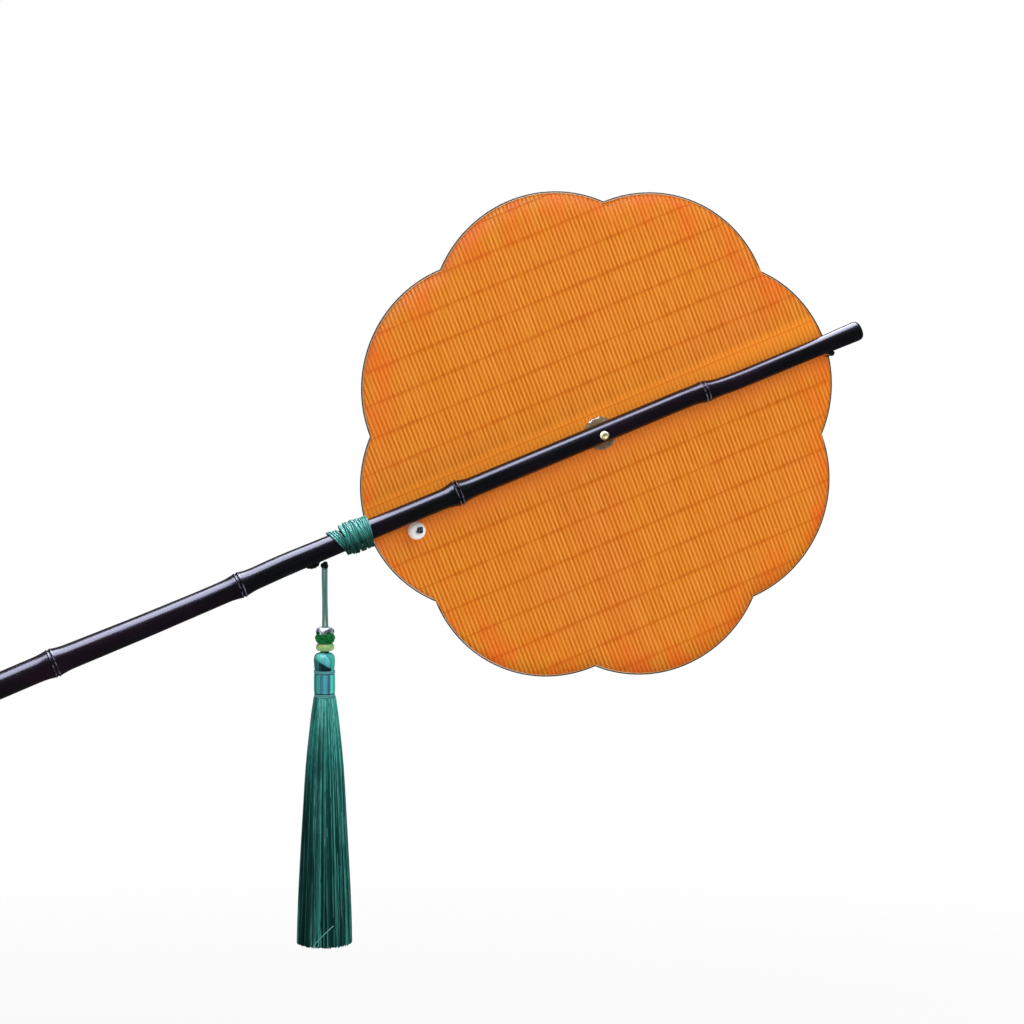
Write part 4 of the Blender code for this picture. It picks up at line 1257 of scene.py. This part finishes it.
head = {"top": -0.0430, "height": 0.0091, "lean": -0.0004, "radius": 0.0054, "sides": 96, "steps": 44,
        "turnToView": radians(104.6), "foldDepth": 0.0004, "ribDepth": 0.00006,
        "outline": ((0, 0.3), (0.03, 0.62), (0.1, 0.84), (0.25, 0.97), (0.45, 1.0), (0.7, 0.98), (0.9, 0.95),
                    (1, 0.9))}
collar = {"top": -0.05374, "height": 0.0094, "radius": 0.00528, "neck": 0.0041, "threadPitch": 0.00034,
          "threadDepth": 0.00007, "sides": 64}
bands = {"upper": -0.05264, "lower": -0.06434, "track": 0.00466, "thread": 0.00058, "sides": 64,
         "slant": 0.00005, "threads": ((0.00036, 0.000476), (0.0003, 0.0), (0.00036, -0.000476))}


# The angle round the tassel from the side that faces the camera, the same behind
def facing(angle):
    return (angle + head["turnToView"] + pi / 2) % pi - pi / 2


def softStep(value, edge, blur):
    return 1 / (1 + exp(-max(min((value - edge) / blur, 30), -30)))


# The folded silk by height (0 at the top) and by angle from the camera's side, the same behind: its relief,
# and a shade of painted light:
# a lobe with a painted highlight sweeps down to the right over a hollow in painted shadow, between a left
# side in painted shade and a split at the right in painted shade, painted lighter right of it
def headFold(share, angle):
    around = facing(angle)
    aside = sin(around)
    seam = 0.2 + 0.48 * sin(pi * min(share, 0.5))
    left, right = softStep(aside, -0.88, 0.04), softStep(aside, seam, 0.03)
    below = softStep(share, 0.61 + 0.34 * aside, 0.025)
    lobe, hollow = left * (1 - right) * (1 - below), left * (1 - right) * below
    parting = bulgeShare(aside, seam, 0.06)
    height = head["foldDepth"] * (lobe * (0.6 + 0.4 * share) - hollow - parting)
    sunk = 0.3 - 0.45 * softStep(aside, -0.35, 0.14)
    # painted light and shade, which the satin finish reads as the crest value
    shade = 0.25 * (1 - left) + 0.62 * right + (0.92 - 0.4 * share) * lobe + sunk * hollow - 0.4 * parting
    return height, min(max(shade + 0.07 * sin(26 * around + 5 * share), 0.0), 1.0)


def makeHead():
    rings, shades = [], []
    for i in range(head["steps"] + 1):
        share = i / head["steps"]
        wide = head["radius"] * float(np.interp(share, *zip(*head["outline"]))) - 0.0002
        ring = []
        for angle in roundAngles(head["sides"]):
            lift, shade = headFold(share, angle)
            rib = head["ribDepth"] * cos(head["sides"] / 3 * angle)
            reach = wide + (lift + rib) * sin(pi * min(share * 1.1, 1))
            ring.append(polar(reach, angle, -head["height"] * share))
            shades.append(shade)
        rings.append(ring)
    matrix = hung(head["top"], head["lean"])
    made = loft("tasselHead", rings, "satinThread", matrix, False, 70, shades)
    return seat(made, "tassel", "silk", "tassel_head")


def makeCollar():
    steps = 4 * int(collar["height"] / collar["threadPitch"])
    rows = [(collar["neck"], 0.0, 0.2)]
    for i in range(steps + 1):
        share = i / steps
        rounded = 1 - 0.03 * (abs(2 * share - 1))**4
        crest = 0.5 - 0.5 * cos(pi * i / 2)
        radius = collar["radius"] * rounded - collar["threadDepth"] * (1 - crest)
        rows.append((radius, -collar["height"] * share, 0.35 + 0.4 * crest))
    rows.append((collar["neck"], -collar["height"], 0.2))
    rings, shades = [], []
    for radius, height, shade in rows:
        rings.append(ringOf(collar["sides"], lambda angle: (radius, height)))
        for angle in roundAngles(collar["sides"]):
            around = facing(angle)
            aside = sin(around)
            # painted shade in vertical folds and at a seam, a painted lighter right side, and painted
            # highlights on the windings' crests
            shades.append(shade - 0.1 + 0.16 * sin(9 * around + 0.6) + 0.08 * sin(23 * around)
                          - 0.2 * bulgeShare(aside, 0.5, 0.05) + 0.25 * softStep(aside, 0.62, 0.05))
    matrix = hung(collar["top"], head["lean"])
    made = loft("tasselCollar", rings, "satinThread", matrix, True, 70, shades)
    return seat(made, "tassel", "silk", "tassel_collar")


# Three turns of thread, the middle one dark
def makeBand(name, middle, node):
    parts = []
    for k, (radius, height) in enumerate(bands["threads"]):
        path = []
        for angle in roundAngles(bands["sides"]):
            spot = polar(bands["track"] + radius, angle, middle + height + bands["slant"] * sin(angle + k))
            path.append(tasselMatrix @ (spot + Vector((head["lean"], 0, 0))))
        finish = "satinThread" if k == 1 else "bindingThread"
        parts.append(cordPiece(f"{name}{k}", path, bands["thread"], finish, 3, 2.6, 0.3, 0.2, True))
    dark = parts.pop(1)
    pale = seat(joined(name, parts), "tassel", "tassel_cord", node)
    dark.name = name + "Dark"
    seat(dark, "tassel", "tassel_cord")
    return pale


tasselHead = makeHead()
tasselCollar = makeCollar()
upperBand = makeBand("upperBinding", bands["upper"], "upper_binding")
lowerBand = makeBand("lowerBinding", bands["lower"], "lower_binding")
print("tassel head and collar")


# The skirt: silk strands that fan out to the hem over a dark core, painted shade in place of the strands
# inside

skirt = {
    "strands": 1300,
    "length": 0.1233,
    "topHeight": -0.0652,
    "hemRadius": 0.0139,
    "strandRadius": 0.00026,
    "sides": 4,
    "steps": 15,
    "flutes": 0.16,
    "stray": 0.06,
    "uneven": 0.009,
    "lean": -0.0009,
    "seed": 3,
    "origin": place["tasselPivot"],
    "turn": (0.0, 0.0, 0.0),
    "finish": "silkStrands",
}
skirtShares = ((0.0, 0.39), (0.05, 0.46), (0.12, 0.53), (0.2, 0.61), (0.3, 0.69), (0.45, 0.77), (0.65, 0.87),
               (0.85, 0.96), (1.0, 1.0))
skirtShadeCore = {"top": -0.0518, "neck": 0.0037, "share": 0.74, "lengthShare": 0.93, "aside": -0.0006,
             "dent": 0.002}
strayThread = {"diameter": 0.00048, "points": (
    (-0.0052, 0.998), (-0.0036, 0.978), (-0.001, 0.955), (0.0018, 0.932), (0.0052, 0.908))}


def skirtTree():
    given = startTree("silkSkirt", skirt)
    row = geo("MeshLine", {"Count": given["strands"], "Offset": (0, 0, 0)})
    line = geo("CurvePrimitiveLine", {"Start": (0, 0, 0), "End": (0, 0, 1)})
    line = geo("ResampleCurve", {0: line, "Count": given["steps"]})
    many = geo("InstanceOnPoints", {0: row, "Instance": line})
    many = stored(many, "strand", geo("InputIndex"), "INSTANCE")
    for k, name in enumerate(("strandTone", "depth", "sway", "hang")):
        many = stored(many, name, chance(given["seed"] + 10.0 * k), "INSTANCE")
    many = geo("RealizeInstances", {0: many})
    many = stored(many, "along", split(geo("InputPosition"))[2])
    share = named("along")
    width = addNode("ShaderNodeFloatCurve", {1: share})
    mapping = width.socket.node.mapping
    for along, wide in skirtShares[1:-1]:
        mapping.curves[0].points.new(along, wide)
    mapping.curves[0].points[0].location = skirtShares[0]
    mapping.update()
    swing = (named("sway") - 0.5) * given["stray"] * (share * 4.0)
    angle = swing + named("strand") * (pi * (3 - sqrt(5)))
    cosine, sine = calc("COSINE", angle), calc("SINE", angle)
    folds = noise(vector(cosine * 2.3, sine * 2.3, share * 0.7))
    inside = calc("POWER", named("depth"), 3.0) * -0.9 + 0.97
    reach = width * given["hemRadius"] * (inside + (folds - 0.55) * (given["flutes"] * share))
    drop = share * (named("hang") * (given["uneven"] * -1.0) + 1.0) * given["length"]
    leaning = share * given["lean"] - 0.0003
    many = moved(many, vector(cosine * reach + leaning, sine * reach, given["topHeight"] - drop))
    return endTree(tube(many, section(given["sides"], given["strandRadius"])), given)


def skirtWidth(share):
    return skirt["hemRadius"] * float(np.interp(share, *zip(*skirtShares)))


# a dark core as painted shade, in place of the strands inside the bundle
def makeSkirtShadeCore():
    neck = skirtShadeCore["neck"]
    profile = [(0, skirtShadeCore["top"]), (neck, skirtShadeCore["top"]), (neck, skirt["topHeight"])]
    for i in range(1, 25):
        drop = skirt["length"] * i / 24 * skirtShadeCore["lengthShare"]
        profile.append((skirtShadeCore["share"] * skirtWidth(i / 24), skirt["topHeight"] - drop))
    profile.append((0, profile[-1][1] + skirtShadeCore["dent"]))
    seat(turned("skirtShadeCore", profile, "darkCord", hung(0, skirtShadeCore["aside"]), 40), "tassel", "silk")


# One thread that lies across the hem, on the side that faces the camera
def makeStrayThread():
    right = Vector((cos(viewing["yaw"]), sin(viewing["yaw"]), 0))
    toView = Vector((right.y, -right.x, 0))
    points = []
    for aside, share in strayThread["points"]:
        out = sqrt(skirtWidth(share)**2 - aside**2) + 0.0003
        height = Vector((0, 0, skirt["topHeight"] - skirt["length"] * share))
        points.append(tasselMatrix @ (right * (aside + skirt["lean"]) + toView * out + height))
    path, wide = smoothPath(points, 0.0006), strayThread["diameter"]
    seat(cordPiece("strayThread", path, wide, "bindingThread", 2, 3.0, 0.6, 0.15), "tassel", "silk")


seat(grow("silkSkirt", skirtTree(), skirt), "tassel", "silk", "tassel_skirt")
makeSkirtShadeCore()
makeStrayThread()
print("silk skirt")


# The standard view transform

bpy.context.scene.view_settings.view_transform = "Standard"
